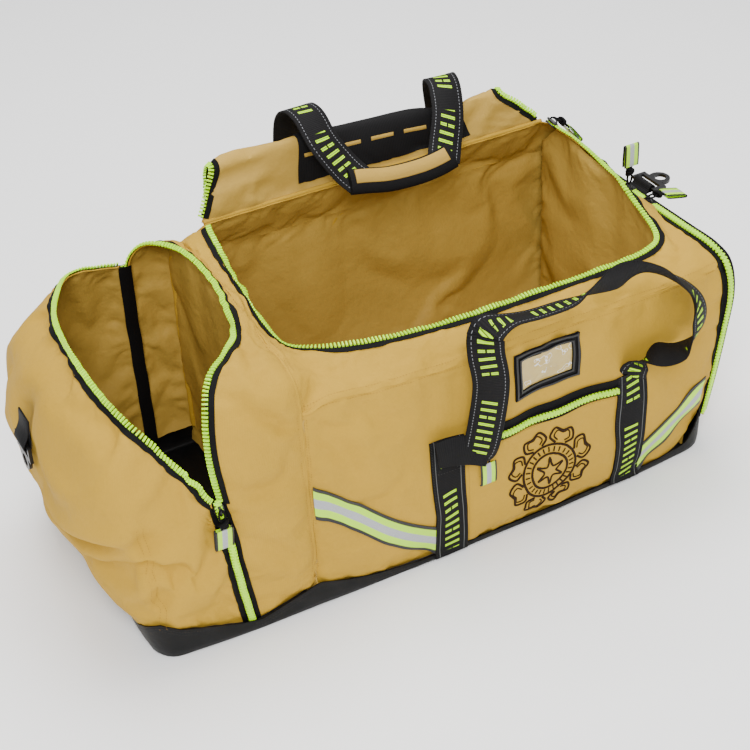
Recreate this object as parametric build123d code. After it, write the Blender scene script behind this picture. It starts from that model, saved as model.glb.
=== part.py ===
"""A firefighter's turnout gear bag: a long fabric duffel with a helmet compartment at one end.

Millimetres, +Z up. The origin is the middle of the underside of the base, which stands on the
floor. +X runs along the bag from the helmet compartment to the end pocket, and -Y is the front.
Every soft panel is a plain slab of its real outline, SKIN thick.
"""
from build123d import *
import os

# --- driving dimensions -------------------------------------------------------------------
LENGTH = 760.0            # base, along X
WIDTH = 350.0             # base, along Y
SKIN = 4.0                # a coated fabric wall with its foam or seam allowance
PAN_HEIGHT = 35.0         # how far the black base wraps up the sides
CORNER_RADIUS = 22.0      # vertical corners of the base
DIVIDER_X = -185.0        # wall between helmet compartment and main compartment
FRONT_SEAM_Z = 266.0      # top edge of the main front panel
BACK_SEAM_Z = 280.0       # top edge of the main back panel
RIDGE_Z = 322.0           # top edge of the divider and of the helmet compartment

RIM_LEFT_X = -160.0       # main opening, left side
RIM_RIGHT_X = 334.0       # main opening, right side
RIM_FRONT_Y = -136.0      # main opening, front side
RIM_FRONT_Z = 292.0
HINGE_Y = 140.0           # the lid's sewn hinge line at the back of the opening
HINGE_Z = 341.0

END_WALL_X = 342.0        # wall between the main compartment and the end pocket
END_TOP_Z = 284.0         # top edge of the end pocket
END_BULGE = 28.0          # how far the end pocket's flap stands out past the base

HELMET_BULGE = 56.0       # how far the helmet compartment's end stands out past the base
SLIDER_Z = 200.0          # height of the open helmet zip's front slider at rest

TAPE = 2.0                # thickness of zip tape, webbing and sewn-on trim
WEBBING = 44.0            # width of the handle webbing
STRAP_TOP_Z = 172.0       # where the handle leaves its vertical straps
LEFT_STRAP_X = -10.0      # centre lines of the two vertical straps
RIGHT_STRAP_X = 245.0
GAP = 0.5                 # clearance between pieces that move past each other

LID_HANG = 208.0          # lid from its fold to its free edge
FOLD_Y = 156.0            # the fold over which the open lid hangs
FOLD_Z = 410.0
LID_END_Y = 191.0         # the free edge of the open lid
LID_THICK = 4.0

HALF_L = LENGTH / 2
HALF_W = WIDTH / 2

os.makedirs("parts", exist_ok=True)


# --- helpers ------------------------------------------------------------------------------
def save(shape, name):
    export_step(shape, f"parts/{name}.step")


def slab_x(outline_yz, x_low, x_high):
    """A flat outline in Y and Z, given thickness along X."""
    plane = Plane(origin=(x_low, 0, 0), x_dir=(0, 1, 0), z_dir=(1, 0, 0))
    return extrude(plane * make_face(Polyline(*outline_yz, close=True)), x_high - x_low)


def slab_y(outline_xz, y_low, y_high):
    """A flat outline in X and Z, given thickness along Y."""
    plane = Plane(origin=(0, y_high, 0), x_dir=(1, 0, 0), z_dir=(0, -1, 0))
    return extrude(plane * make_face(Polyline(*outline_xz, close=True)), y_high - y_low)


def slab_z(outline_xy, z_low, z_high):
    """A flat outline in X and Y, given thickness along Z."""
    plane = Plane(origin=(0, 0, z_low))
    return extrude(plane * make_face(Polyline(*outline_xy, close=True)), z_high - z_low)


def block(low, high):
    """A rectangular block between two corners."""
    size = [b - a for a, b in zip(low, high)]
    middle = [(a + b) / 2 for a, b in zip(low, high)]
    return Pos(*middle) * Box(*size)


def box_outline(a_low, b_low, a_high, b_high):
    return [(a_low, b_low), (a_high, b_low), (a_high, b_high), (a_low, b_high)]


def band(points, thickness):
    """The closed outline of a strip that follows points, thickened to their left."""
    offset = []
    for i, (a, b) in enumerate(points):
        before = Vector(*points[max(i - 1, 0)], 0)
        after = Vector(*points[min(i + 1, len(points) - 1)], 0)
        along = (after - before).normalized()
        offset.append((a - along.Y * thickness, b + along.X * thickness))
    return list(points) + offset[::-1]


def ruled(section_low, section_high):
    """A straight-sided solid between two four-sided sections."""
    faces = [Face(Wire.make_polygon([Vector(*p) for p in s])) for s in (section_low, section_high)]
    return Solid.make_loft([f.outer_wire() for f in faces], True)


# --- base ---------------------------------------------------------------------------------
def base_pan():
    outer = extrude(RectangleRounded(LENGTH, WIDTH, CORNER_RADIUS), PAN_HEIGHT)
    inner_size = (LENGTH - 2 * SKIN, WIDTH - 2 * SKIN, CORNER_RADIUS - SKIN)
    inner = Pos(0, 0, SKIN) * extrude(RectangleRounded(*inner_size), PAN_HEIGHT)
    return outer - inner


def base_board():
    low = (DIVIDER_X + 8, -HALF_W + 12, SKIN)
    high = (END_WALL_X - 8, HALF_W - 12, SKIN + 5)
    return block(low, high)


# --- main compartment ---------------------------------------------------------------------
def main_front_panel():
    outline = box_outline(DIVIDER_X, PAN_HEIGHT, HALF_L - 2, FRONT_SEAM_Z)
    return slab_y(outline, -HALF_W, -HALF_W + SKIN)


def main_back_panel():
    outline = box_outline(DIVIDER_X, PAN_HEIGHT, HALF_L - 2, BACK_SEAM_Z)
    return slab_y(outline, HALF_W - SKIN, HALF_W)


def divider_wall():
    inner = HALF_W - SKIN
    outline = [(-inner, SKIN), (inner, SKIN), (inner, RIDGE_Z), (-inner, RIDGE_Z)]
    return slab_x(outline, DIVIDER_X - SKIN / 2, DIVIDER_X + SKIN / 2)


def inner_end_wall():
    inner = HALF_W - SKIN
    outline = [(-inner, SKIN), (inner, SKIN), (inner, END_TOP_Z - 8), (-inner, END_TOP_Z - 24)]
    return slab_x(outline, END_WALL_X, END_WALL_X + SKIN)


def top_front_gusset():
    outline = [(-HALF_W, FRONT_SEAM_Z), (RIM_FRONT_Y, RIM_FRONT_Z),
               (RIM_FRONT_Y, RIM_FRONT_Z - SKIN), (-HALF_W + SKIN, FRONT_SEAM_Z)]
    return slab_x(outline, DIVIDER_X + SKIN / 2, HALF_L - 5.5)


def top_back_gusset():
    outline = [(HALF_W, BACK_SEAM_Z), (HINGE_Y + 4, HINGE_Z),
               (HINGE_Y + 4, HINGE_Z - SKIN), (HALF_W - SKIN, BACK_SEAM_Z)]
    return slab_x(outline, DIVIDER_X + SKIN / 2, HALF_L - 5.5)


def side_gusset(rim_x, outer_x, outer_front_z, outer_back_z):
    """The top strip beside the opening: it rises from front to back with the rim."""
    def section(y, rim_z, outer_z):
        return [(rim_x, y, rim_z), (outer_x, y, outer_z),
                (outer_x, y, outer_z - SKIN), (rim_x, y, rim_z - SKIN)]
    front = section(RIM_FRONT_Y + GAP, RIM_FRONT_Z, outer_front_z)
    back = section(HINGE_Y + 3, HINGE_Z, outer_back_z)
    return ruled(front, back)


def top_left_gusset():
    return side_gusset(RIM_LEFT_X, DIVIDER_X + SKIN / 2 + GAP, RIDGE_Z - 8, RIDGE_Z)


def top_right_gusset():
    return side_gusset(RIM_RIGHT_X, HALF_L - 5.5, END_TOP_Z - 2, END_TOP_Z - 2)


# --- helmet compartment -------------------------------------------------------------------
ZIP_FOOT_X = -272.0       # where the front helmet zip meets the base
ZIP_SPLIT_X = -292.0      # where it opens, at the slider
LEFT_EDGE_X = -366.0      # how far the opened zip's left edge is pushed aside at the top
RIGHT_EDGE_X = -283.0     # its right edge at the top of the front
BACK_ZIP_X = -246.0       # the same zip where it runs down the back
BACK_SPLIT_Z = 296.0      # and where its slider parts it at rest
HALF_CHAIN = 5.0          # half the width of closed zip teeth


def helmet_end_panel():
    """The stuffed end wall: it swells out over the base and back in at the top."""
    foot_x = -HALF_L + 2
    profile = [(foot_x, PAN_HEIGHT), (foot_x - 0.62 * HELMET_BULGE, 95), (foot_x - HELMET_BULGE, 190),
               (foot_x - 0.75 * HELMET_BULGE, 270), (foot_x - 4, RIDGE_Z)]
    return slab_y(band(profile, -SKIN), -HALF_W + SKIN + GAP, HALF_W - SKIN - GAP)


def helmet_front_left_panel():
    outline = [(-HALF_L + 2, PAN_HEIGHT), (ZIP_FOOT_X - HALF_CHAIN, PAN_HEIGHT),
               (ZIP_SPLIT_X - HALF_CHAIN, SLIDER_Z), (LEFT_EDGE_X + 38, 252), (LEFT_EDGE_X, 312),
               (LEFT_EDGE_X - 10, RIDGE_Z - 4), (-HALF_L - 24, 272), (-HALF_L - 34, 190), (-HALF_L - 22, 95)]
    return slab_y(outline, -HALF_W, -HALF_W + SKIN)


def helmet_front_right_panel():
    outline = [(ZIP_FOOT_X + HALF_CHAIN, PAN_HEIGHT), (DIVIDER_X, PAN_HEIGHT), (DIVIDER_X, RIDGE_Z),
               (RIGHT_EDGE_X, RIDGE_Z), (RIGHT_EDGE_X - 6, 262), (ZIP_SPLIT_X + HALF_CHAIN, SLIDER_Z)]
    return slab_y(outline, -HALF_W, -HALF_W + SKIN)


def helmet_back_panel():
    outline = [(-HALF_L + 2, PAN_HEIGHT), (DIVIDER_X, PAN_HEIGHT), (DIVIDER_X, RIDGE_Z),
               (BACK_ZIP_X + 22, RIDGE_Z),
               (BACK_ZIP_X, BACK_SPLIT_Z), (BACK_ZIP_X - 40, BACK_SPLIT_Z + 14), (-HALF_L + 44, RIDGE_Z),
               (-HALF_L + 8, RIDGE_Z), (-HALF_L - 24, 272), (-HALF_L - 34, 190), (-HALF_L - 22, 95)]
    return slab_y(outline, HALF_W - SKIN, HALF_W)


def helmet_top_front_panel():
    """The strip of top between the right zip edge and the ridge, at the front."""
    inner = -HALF_W + SKIN + GAP
    outline = [(DIVIDER_X - SKIN, inner), (RIGHT_EDGE_X + 2, inner), (-245, -120), (-214, -88),
               (DIVIDER_X - 12, -30), (DIVIDER_X - SKIN, -30)]
    return slab_z(outline, RIDGE_Z - SKIN, RIDGE_Z)


def helmet_top_rear_panel():
    """The rear corner of the top, between the end wall and the left zip edge."""
    inner = HALF_W - SKIN - GAP
    outline = [(-318, inner), (-346, 108), (-364, 60), (-HALF_L + 6, 60), (-HALF_L + 6, inner)]
    return slab_z(outline, RIDGE_Z - SKIN, RIDGE_Z)


# --- zips ---------------------------------------------------------------------------------
def front_chain(points):
    """Zip teeth and tape that lie on the front wall along points in X and Z."""
    return slab_y(points, -HALF_W - TAPE, -HALF_W - GAP / 5)


def helmet_zip_closed_front():
    outline = [(ZIP_FOOT_X - HALF_CHAIN, PAN_HEIGHT), (ZIP_FOOT_X + HALF_CHAIN, PAN_HEIGHT),
               (ZIP_SPLIT_X + HALF_CHAIN, SLIDER_Z), (ZIP_SPLIT_X - HALF_CHAIN, SLIDER_Z)]
    return front_chain(outline)


def helmet_zip_open():
    """The two opened halves of the helmet zip, up the front and along both edges of the top."""
    width = HALF_CHAIN
    left_front = [(ZIP_SPLIT_X - 2, SLIDER_Z + 2), (LEFT_EDGE_X + 40, 253), (LEFT_EDGE_X + 2, 313)]
    right_front = [(ZIP_SPLIT_X + 2, SLIDER_Z + 2), (RIGHT_EDGE_X - 7, 262), (RIGHT_EDGE_X - 1, RIDGE_Z)]
    top_left = [(-364, 60), (-346, 108), (-319, 168)]
    top_right = [(-245, -121), (-214, -89), (DIVIDER_X - 13, -31), (DIVIDER_X - 5, 16)]
    top_z = (RIDGE_Z + GAP / 5, RIDGE_Z + TAPE)
    solids = [front_chain(band(left_front, width)), front_chain(band(right_front, -width)),
              slab_z(band(top_left, width), *top_z), slab_z(band(top_right, -width), *top_z)]
    return Compound(children=solids)


def helmet_zip_closed_back():
    outline = box_outline(BACK_ZIP_X - HALF_CHAIN, PAN_HEIGHT, BACK_ZIP_X + HALF_CHAIN, BACK_SPLIT_Z - 4)
    return slab_y(outline, HALF_W + GAP / 5, HALF_W + TAPE)


def rim_zip():
    """The bag's half of the main zip, along the left, front and right of the opening."""
    inset = 5.0
    z_low = RIM_FRONT_Z + GAP
    front = block((RIM_LEFT_X, RIM_FRONT_Y, z_low - SKIN), (RIM_RIGHT_X, RIM_FRONT_Y + inset, z_low))

    def side(x_low, x_high):
        def section(y, z):
            return [(x_low, y, z - SKIN), (x_high, y, z - SKIN), (x_high, y, z), (x_low, y, z)]
        return ruled(section(RIM_FRONT_Y + inset, z_low), section(HINGE_Y - 4, HINGE_Z + GAP))
    left = side(RIM_LEFT_X, RIM_LEFT_X + inset)
    right = side(RIM_RIGHT_X - inset, RIM_RIGHT_X)
    return Compound(children=[front, left, right])


def end_zip_half(x_low, x_high):
    """Half of the end pocket's zip: up the front edge, over the top, down the back edge."""
    side_y = HALF_W - 12
    outer = box_outline(-side_y, PAN_HEIGHT + 10, side_y, END_TOP_Z - 1)
    inner = box_outline(-side_y + 6, PAN_HEIGHT + 8, side_y - 6, END_TOP_Z - 7)
    return slab_x(outer, x_low, x_high) - slab_x(inner, x_low - 1, x_high + 1)


# --- front pocket and what is sewn to the front and back ----------------------------------
POCKET_X = (LEFT_STRAP_X + WEBBING / 2 + 1, RIGHT_STRAP_X - WEBBING / 2 - 1)
POCKET_TOP_Z = 150.0
POCKET_ZIP_Z = 160.0
POCKET_FOOT_Z = 12.0      # the pocket's cloth hangs over the base
BADGE_X = 124.0
BADGE_Z = 78.0
BADGE_RADIUS = 60.0
WINDOW = box_outline(82, 192, 172, 252)
WINDOW_OPENING = box_outline(90, 200, 164, 244)
SURFACE_Y = -HALF_W - GAP / 5


def front_pocket_panel():
    outline = box_outline(POCKET_X[0], POCKET_FOOT_Z, POCKET_X[1], POCKET_TOP_Z)
    return slab_y(outline, SURFACE_Y - TAPE, SURFACE_Y)


def front_pocket_zip():
    outline = box_outline(POCKET_X[0] + 3, POCKET_TOP_Z, POCKET_X[1] - 3, POCKET_TOP_Z + 20)
    return slab_y(outline, SURFACE_Y - TAPE, SURFACE_Y)


def id_window_frame():
    return slab_y(WINDOW, SURFACE_Y - TAPE, SURFACE_Y) - slab_y(WINDOW_OPENING, SURFACE_Y - 3, SURFACE_Y + 1)


def id_window_pane():
    return slab_y(WINDOW_OPENING, SURFACE_Y - TAPE / 2, SURFACE_Y)


def front_badge():
    plane = Plane(origin=(BADGE_X, SURFACE_Y - TAPE - 0.1, BADGE_Z), x_dir=(1, 0, 0), z_dir=(0, -1, 0))
    return extrude(plane * Circle(BADGE_RADIUS), 1.2)


def straps(surface_y, outward):
    """The two vertical straps of webbing that carry one handle."""
    solids = []
    for x in (LEFT_STRAP_X, RIGHT_STRAP_X):
        ys = sorted((surface_y, surface_y + outward * 1.25 * TAPE))
        solids.append(block((x - WEBBING / 2, ys[0], 2), (x + WEBBING / 2, ys[1], STRAP_TOP_Z)))
    return Compound(children=solids)


def trims(surface_y, outward):
    """The two slanted reflective strips beside the straps."""
    left = [(DIVIDER_X + 4, 166), (LEFT_STRAP_X - WEBBING / 2 - 1, 66), (LEFT_STRAP_X - WEBBING / 2 - 1, 28),
            (DIVIDER_X + 4, 128)]
    right = [(RIGHT_STRAP_X + WEBBING / 2 + 1, 76), (HALF_L - 14, 150), (HALF_L - 14, 110),
             (RIGHT_STRAP_X + WEBBING / 2 + 1, 38)]
    ys = sorted((surface_y, surface_y + outward * TAPE))
    return Compound(children=[slab_y(left, *ys), slab_y(right, *ys)])


# --- lid ----------------------------------------------------------------------------------
LID_LEFT_X = RIM_LEFT_X + 6
LID_RIGHT_X = RIM_RIGHT_X - 6
CHAIN = 5.0               # width of one half of the lid's zip
RISE_FOOT = (HINGE_Y + 0.5, HINGE_Z + 5)
RISE_TOP = (FOLD_Y - 6, FOLD_Z - 4)
HANG_TOP = (FOLD_Y + 5, FOLD_Z - 4)
HANG_END = (LID_END_Y, FOLD_Z - LID_HANG)


def lid_slab(x_low, x_high, start, end):
    """A strip of lid between two points in Y and Z, its thickness to the back of them."""
    return slab_x(band([start, end], -LID_THICK), x_low, x_high)


def lid_rear_panel():
    return lid_slab(LID_LEFT_X + CHAIN, LID_RIGHT_X - CHAIN, RISE_FOOT, RISE_TOP)


def lid_rear_zip():
    left = lid_slab(LID_LEFT_X, LID_LEFT_X + CHAIN, RISE_FOOT, RISE_TOP)
    right = lid_slab(LID_RIGHT_X - CHAIN, LID_RIGHT_X, RISE_FOOT, RISE_TOP)
    return Compound(children=[left, right])


def hang_point(distance):
    """A point on the hanging part of the lid, measured down from its top."""
    along = (Vector(*HANG_END, 0) - Vector(*HANG_TOP, 0))
    point = Vector(*HANG_TOP, 0) + along.normalized() * distance
    return (point.X, point.Y)


def lid_front_panel():
    length = (Vector(*HANG_END, 0) - Vector(*HANG_TOP, 0)).length
    return lid_slab(LID_LEFT_X + CHAIN, LID_RIGHT_X - CHAIN, hang_point(length - CHAIN), HANG_TOP)


def lid_front_zip():
    length = (Vector(*HANG_END, 0) - Vector(*HANG_TOP, 0)).length
    edge = hang_point(length - CHAIN)
    left = lid_slab(LID_LEFT_X, LID_LEFT_X + CHAIN, edge, HANG_TOP)
    right = lid_slab(LID_RIGHT_X - CHAIN, LID_RIGHT_X, edge, HANG_TOP)
    bottom = lid_slab(LID_LEFT_X, LID_RIGHT_X, HANG_END, edge)
    return Compound(children=[left, right, bottom])


SLOT_PANEL_X = (-24.0, 230.0)
SLOT_COUNT = 5
SLOT_LENGTH = 34.0
SLOT_PITCH = 46.0


def lid_slot_panel():
    """The black slotted panel sewn along the lid's rise, with a row of slots for clips."""
    depth = 1.5
    foot = (RISE_FOOT[0] - 0.1, RISE_FOOT[1] + 8)
    top = (RISE_TOP[0] - 0.2, RISE_TOP[1] - 1)
    panel = slab_x(band([foot, top], depth), *SLOT_PANEL_X)
    first_x = sum(SLOT_PANEL_X) / 2 - SLOT_PITCH * (SLOT_COUNT - 1) / 2
    slot_z = (foot[1] + top[1]) / 2
    for i in range(SLOT_COUNT):
        x = first_x + i * SLOT_PITCH
        low = (x - SLOT_LENGTH / 2, FOLD_Y - 40, slot_z - 3)
        panel -= block(low, (x + SLOT_LENGTH / 2, FOLD_Y, slot_z + 3))
    return panel


# --- handles ------------------------------------------------------------------------------
HANDLE_THICK = 3.0
HANDLE_PIVOT_Z = 136.0    # the webbing folds here, just below the top of the straps
FRONT_HANDLE_Y = -200.0
GRIP_Z = 331.0
BACK_HANDLE_Y = 205.0     # the back handle rises here, behind the hanging lid
BACK_HANDLE_TOP_Z = 436.0
BACK_GRIP_Y = 96.0        # and hooks over the lid, its grip lying in the opening
BACK_GRIP_Z = 352.0


def front_handle():
    """A loop of webbing: up from the left strap, along the grip and round to the right strap."""
    y_face = FRONT_HANDLE_Y
    fold_low = (LEFT_STRAP_X - 18, y_face - 2, HANDLE_PIVOT_Z + 14)
    left_fold = block(fold_low, (26, y_face + 14, HANDLE_PIVOT_Z + 32))
    left_leg = block((16, y_face - HANDLE_THICK, HANDLE_PIVOT_Z), (60, y_face + 2, GRIP_Z + 2))
    grip = [(16, GRIP_Z), (200, GRIP_Z), (262, GRIP_Z - 12), (318, GRIP_Z - 56), (346, GRIP_Z - 106),
            (348, 190), (322, 160), (300, 162), (262, 186), (226, 172)]
    loop = slab_y(band(grip, HANDLE_THICK), y_face - 16, y_face + 14)
    return left_fold + left_leg + loop


def back_handle_leg(x_middle):
    path = [(HALF_W + 9, HANDLE_PIVOT_Z + 14), (BACK_HANDLE_Y, HANDLE_PIVOT_Z + 60),
            (BACK_HANDLE_Y, BACK_HANDLE_TOP_Z - 22), (BACK_HANDLE_Y - 20, BACK_HANDLE_TOP_Z),
            (FOLD_Y - 4, BACK_HANDLE_TOP_Z), (FOLD_Y - 26, BACK_HANDLE_TOP_Z - 20),
            (BACK_GRIP_Y, BACK_GRIP_Z)]
    return slab_x(band(path, -HANDLE_THICK), x_middle - WEBBING / 2, x_middle + WEBBING / 2)


def back_handle():
    legs = [back_handle_leg(x) for x in (LEFT_STRAP_X, RIGHT_STRAP_X - 45)]
    return Compound(children=legs)


def back_handle_grip():
    """The padded fabric wrap that joins the two halves of the back handle in the hand."""
    x_low = LEFT_STRAP_X + WEBBING / 2
    x_high = RIGHT_STRAP_X - 45 - WEBBING / 2
    return block((x_low, BACK_GRIP_Y - 14, BACK_GRIP_Z - 2), (x_high, BACK_GRIP_Y + 14, BACK_GRIP_Z + 10))


# --- end pocket flap ----------------------------------------------------------------------
FLAP_X = HALF_L + 1
FLAP_FOOT_Z = PAN_HEIGHT + 3


def end_flap_panel():
    """The stuffed outer wall of the end pocket; it falls open about its bottom seam."""
    profile = [(FLAP_X, FLAP_FOOT_Z), (FLAP_X + 0.7 * END_BULGE, 110), (FLAP_X + END_BULGE, 190),
               (FLAP_X + 0.8 * END_BULGE, 252), (FLAP_X + 6, END_TOP_Z - 8)]
    side = HALF_W - 19
    return slab_y(band(profile, SKIN), -side, side)


def end_flap_zip():
    return end_zip_half(FLAP_X + 0.3, FLAP_X + 5)


def end_bag_zip():
    return end_zip_half(HALF_L - 5, HALF_L - 0.3)


def end_face_zip():
    """A short level zip on the flap's face, for a flat inner pocket."""
    return block((FLAP_X + END_BULGE + 0.2, -130, 225), (FLAP_X + END_BULGE + 2.2, 130, 235))


# --- zip sliders, their pulls and the anchor rings ----------------------------------------
SLIDER_SIZE = (12.0, 18.0, 8.0)   # across the zip, along it, and off the tape
PULL_LOOP = 8.0
PULL_KNOT = 14.0
PULL_TAB = 30.0
PULL_TAB_WIDTH = 22.0

# Each slider: the middle of its foot on the teeth, the way along the zip, the way off the tape
# and the way its pull hangs. The pull turns about the line across the other two.
X, Y, Z = (1, 0, 0), (0, 1, 0), (0, 0, 1)
LEFT, FRONT, DOWN = (-1, 0, 0), (0, -1, 0), (0, 0, -1)
HELMET_ZIP_WAY = (ZIP_FOOT_X - ZIP_SPLIT_X, 0, PAN_HEIGHT - SLIDER_Z)
RIM_WAY = (0, RIM_FRONT_Y - HINGE_Y, RIM_FRONT_Z - HINGE_Z)
SLIDERS = {
    "helmet_front": ((ZIP_SPLIT_X + 1, -HALF_W - TAPE - GAP, SLIDER_Z - 10), HELMET_ZIP_WAY, FRONT, DOWN),
    "helmet_back": ((BACK_ZIP_X, HALF_W + TAPE + GAP, BACK_SPLIT_Z - 12), DOWN, Y, DOWN),
    "pocket": ((POCKET_X[0] + 26, SURFACE_Y - TAPE - GAP, POCKET_ZIP_Z), X, FRONT, DOWN),
    "end_front": ((HALF_L + 0.5, -30, END_TOP_Z + GAP), Y, Z, X),
    "end_back": ((HALF_L + 0.5, 12, END_TOP_Z + GAP), Y, Z, Z),
    "end_face": ((FLAP_X + END_BULGE + 2.7, -130, 230), Y, X, DOWN),
    "main": ((RIM_RIGHT_X + 2, HINGE_Y - 16, HINGE_Z + 1), RIM_WAY, (0.6, 0, 0.8), (0.8, 0, -0.6)),
}


def slider(foot, way, off):
    """A moulded zip slider standing on its zip."""
    plane = Plane(origin=foot, x_dir=Vector(*way).cross(Vector(*off)), z_dir=off)
    body = Pos(0, 0, SLIDER_SIZE[2] / 2) * Box(*SLIDER_SIZE)
    return plane * fillet(body.edges().filter_by(Axis.Z), 3)


def pull(foot, off, hang):
    """A slider's pull: a short cord loop, its knot and the folded reflective tab."""
    lift = SLIDER_SIZE[2] + GAP + 4
    top = Vector(*foot) + Vector(*off) * lift
    side = Vector(*hang).cross(Vector(*off)) if hang != off else Vector(*X)
    plane = Plane(origin=top, x_dir=side, z_dir=side.cross(Vector(*hang)))
    length = PULL_LOOP + PULL_KNOT
    loop = Pos(0, PULL_LOOP / 2, 0) * Box(5, PULL_LOOP, 3)
    knot = Pos(0, PULL_LOOP + PULL_KNOT / 2, 0) * Box(12, PULL_KNOT, 8)
    tab = Pos(0, length + PULL_TAB / 2, 0) * Box(PULL_TAB_WIDTH, PULL_TAB, 3)
    return plane * (loop + knot + tab)


RING_THICK = 4.0
EYE_OFFSET = 25.0         # from the ring's bar to its eye
EYE_RADIUS = 7.5


def ring_plane(bar_middle, eye_way, face_way):
    """A ring's own frame: origin in its top bar, +Y towards the eye, +Z off its outer face."""
    return Plane(origin=bar_middle, x_dir=Vector(*eye_way).cross(Vector(*face_way)), z_dir=face_way)


def anchor_ring(bar_middle, eye_way, face_way):
    """A flat moulded ring: a slot for its webbing tab and a round eye for a clip."""
    outline = Pos(0, 7) * Rectangle(46, 20) + Pos(0, EYE_OFFSET - 2) * Circle(14)
    holes = Pos(0, 7) * Rectangle(36, 8) + Pos(0, EYE_OFFSET) * Circle(EYE_RADIUS)
    return ring_plane(bar_middle, eye_way, face_way) * extrude(outline - holes, RING_THICK / 2, both=True)


def ring_tab(bar_middle, eye_way, face_way, tail, foot):
    """A loop of webbing round the ring's bar, with a tail on the bag side and a sewn foot."""
    width = 34
    inner = 4.0
    layer = 1.5
    outer = inner + layer
    loop = Pos(0, 1, 0) * (Box(width, 16, 2 * outer) - Box(width, 16 - 2 * layer, 2 * inner))
    tail_piece = Pos(0, -7 - tail / 2, -outer + layer / 2) * Box(width, tail, layer)
    foot_piece = Pos(0, -7 - tail + layer / 2, -outer - foot / 2) * Box(width, layer, foot)
    return ring_plane(bar_middle, eye_way, face_way) * (loop + tail_piece + foot_piece)


RIGHT_RING = (FLAP_X + 24, 12, END_TOP_Z + 2)
LEFT_RING = (-HALF_L - HELMET_BULGE - 7, 0, 226)


def right_anchor_ring():
    return anchor_ring(RIGHT_RING, X, Z)


def left_anchor_ring():
    return anchor_ring(LEFT_RING, DOWN, LEFT)


def right_ring_tab():
    """Sewn to the top of the flap, reaching out past its swell."""
    return ring_tab(RIGHT_RING, X, Z, 11, 4)


def left_ring_tab():
    """Sewn to the swollen end wall above the ring."""
    return ring_tab(LEFT_RING, DOWN, LEFT, 26, 10)


STATIC = (base_pan, base_board, main_front_panel, main_back_panel, divider_wall, inner_end_wall,
          top_front_gusset, top_back_gusset, top_left_gusset, top_right_gusset,
          helmet_end_panel, helmet_front_left_panel, helmet_front_right_panel, helmet_back_panel,
          helmet_top_front_panel, helmet_top_rear_panel, helmet_zip_closed_front, helmet_zip_open,
          helmet_zip_closed_back, rim_zip, end_bag_zip, front_pocket_panel, front_pocket_zip,
          id_window_frame, id_window_pane, front_badge, left_ring_tab)
MOVING = (lid_rear_panel, lid_rear_zip, lid_slot_panel, lid_front_panel, lid_front_zip,
          front_handle, back_handle, back_handle_grip, end_flap_panel, end_flap_zip, end_face_zip,
          right_ring_tab, right_anchor_ring, left_anchor_ring)


def main():
    for make in STATIC + MOVING:
        save(make(), make.__name__)
    for side, surface_y, outward in (("front", SURFACE_Y, -1), ("back", HALF_W + GAP / 5, 1)):
        save(straps(surface_y, outward), f"{side}_straps")
        save(trims(surface_y, outward), f"{side}_trims")
    for name, (foot, way, off, hang) in SLIDERS.items():
        save(slider(foot, way, off), f"{name}_slider")
        save(pull(foot, off, hang), f"{name}_pull")


main()
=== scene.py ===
"""Looks of the turnout gear bag: cloth panels, zips, webbing, trims and fittings round the frame.

Sizes and places are millimetres, in the frame's own axes: +X along the bag, -Y the front, +Z up.
Each cloth panel is a net of control points smoothed to a grid, creased, and settled as cloth.
"""
import bpy
import math
import numpy as np
from mathutils import Matrix, Vector
from mathutils.bvhtree import BVHTree


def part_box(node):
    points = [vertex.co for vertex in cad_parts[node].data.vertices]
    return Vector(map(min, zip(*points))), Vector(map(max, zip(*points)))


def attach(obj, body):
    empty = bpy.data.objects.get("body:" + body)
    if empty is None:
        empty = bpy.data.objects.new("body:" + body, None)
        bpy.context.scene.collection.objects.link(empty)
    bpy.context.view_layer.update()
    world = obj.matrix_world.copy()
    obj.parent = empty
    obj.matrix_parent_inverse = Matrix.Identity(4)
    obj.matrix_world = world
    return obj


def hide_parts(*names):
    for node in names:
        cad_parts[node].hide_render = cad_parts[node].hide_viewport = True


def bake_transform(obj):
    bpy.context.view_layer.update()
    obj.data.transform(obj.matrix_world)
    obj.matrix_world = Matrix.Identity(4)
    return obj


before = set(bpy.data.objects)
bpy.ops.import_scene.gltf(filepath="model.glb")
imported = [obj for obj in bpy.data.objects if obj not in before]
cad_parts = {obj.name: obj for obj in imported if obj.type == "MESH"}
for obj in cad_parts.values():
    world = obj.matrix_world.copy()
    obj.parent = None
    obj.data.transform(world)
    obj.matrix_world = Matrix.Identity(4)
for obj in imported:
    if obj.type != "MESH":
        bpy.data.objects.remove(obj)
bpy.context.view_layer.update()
MM = 0.001


def node_box(name):
    """Lowest and highest corner of a CAD node, in millimetres."""
    return [np.array(corner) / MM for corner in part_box(name)]


# --- driving dimensions, from the frame ----------------------------------------------------
HALF_L, HALF_W = node_box("base_pan")[1][:2]
DIVIDER_X = np.mean([corner[0] for corner in node_box("divider_wall")])
HINGE_Y, HINGE_Z = 140.0, node_box("lid_rear_zip")[0][2] - 4
FOLD_Y, FOLD_Z = 156.0, node_box("lid_rear_zip")[1][2] + 4
FLAP_X = node_box("end_flap_zip")[0][0]
STRAP_LOW, STRAP_HIGH = node_box("front_straps")
STRAP_TOP = STRAP_HIGH[2]
WEBBING = 44.0
STRAP_X = (STRAP_LOW[0] + WEBBING / 2, STRAP_HIGH[0] - WEBBING / 2)

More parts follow.
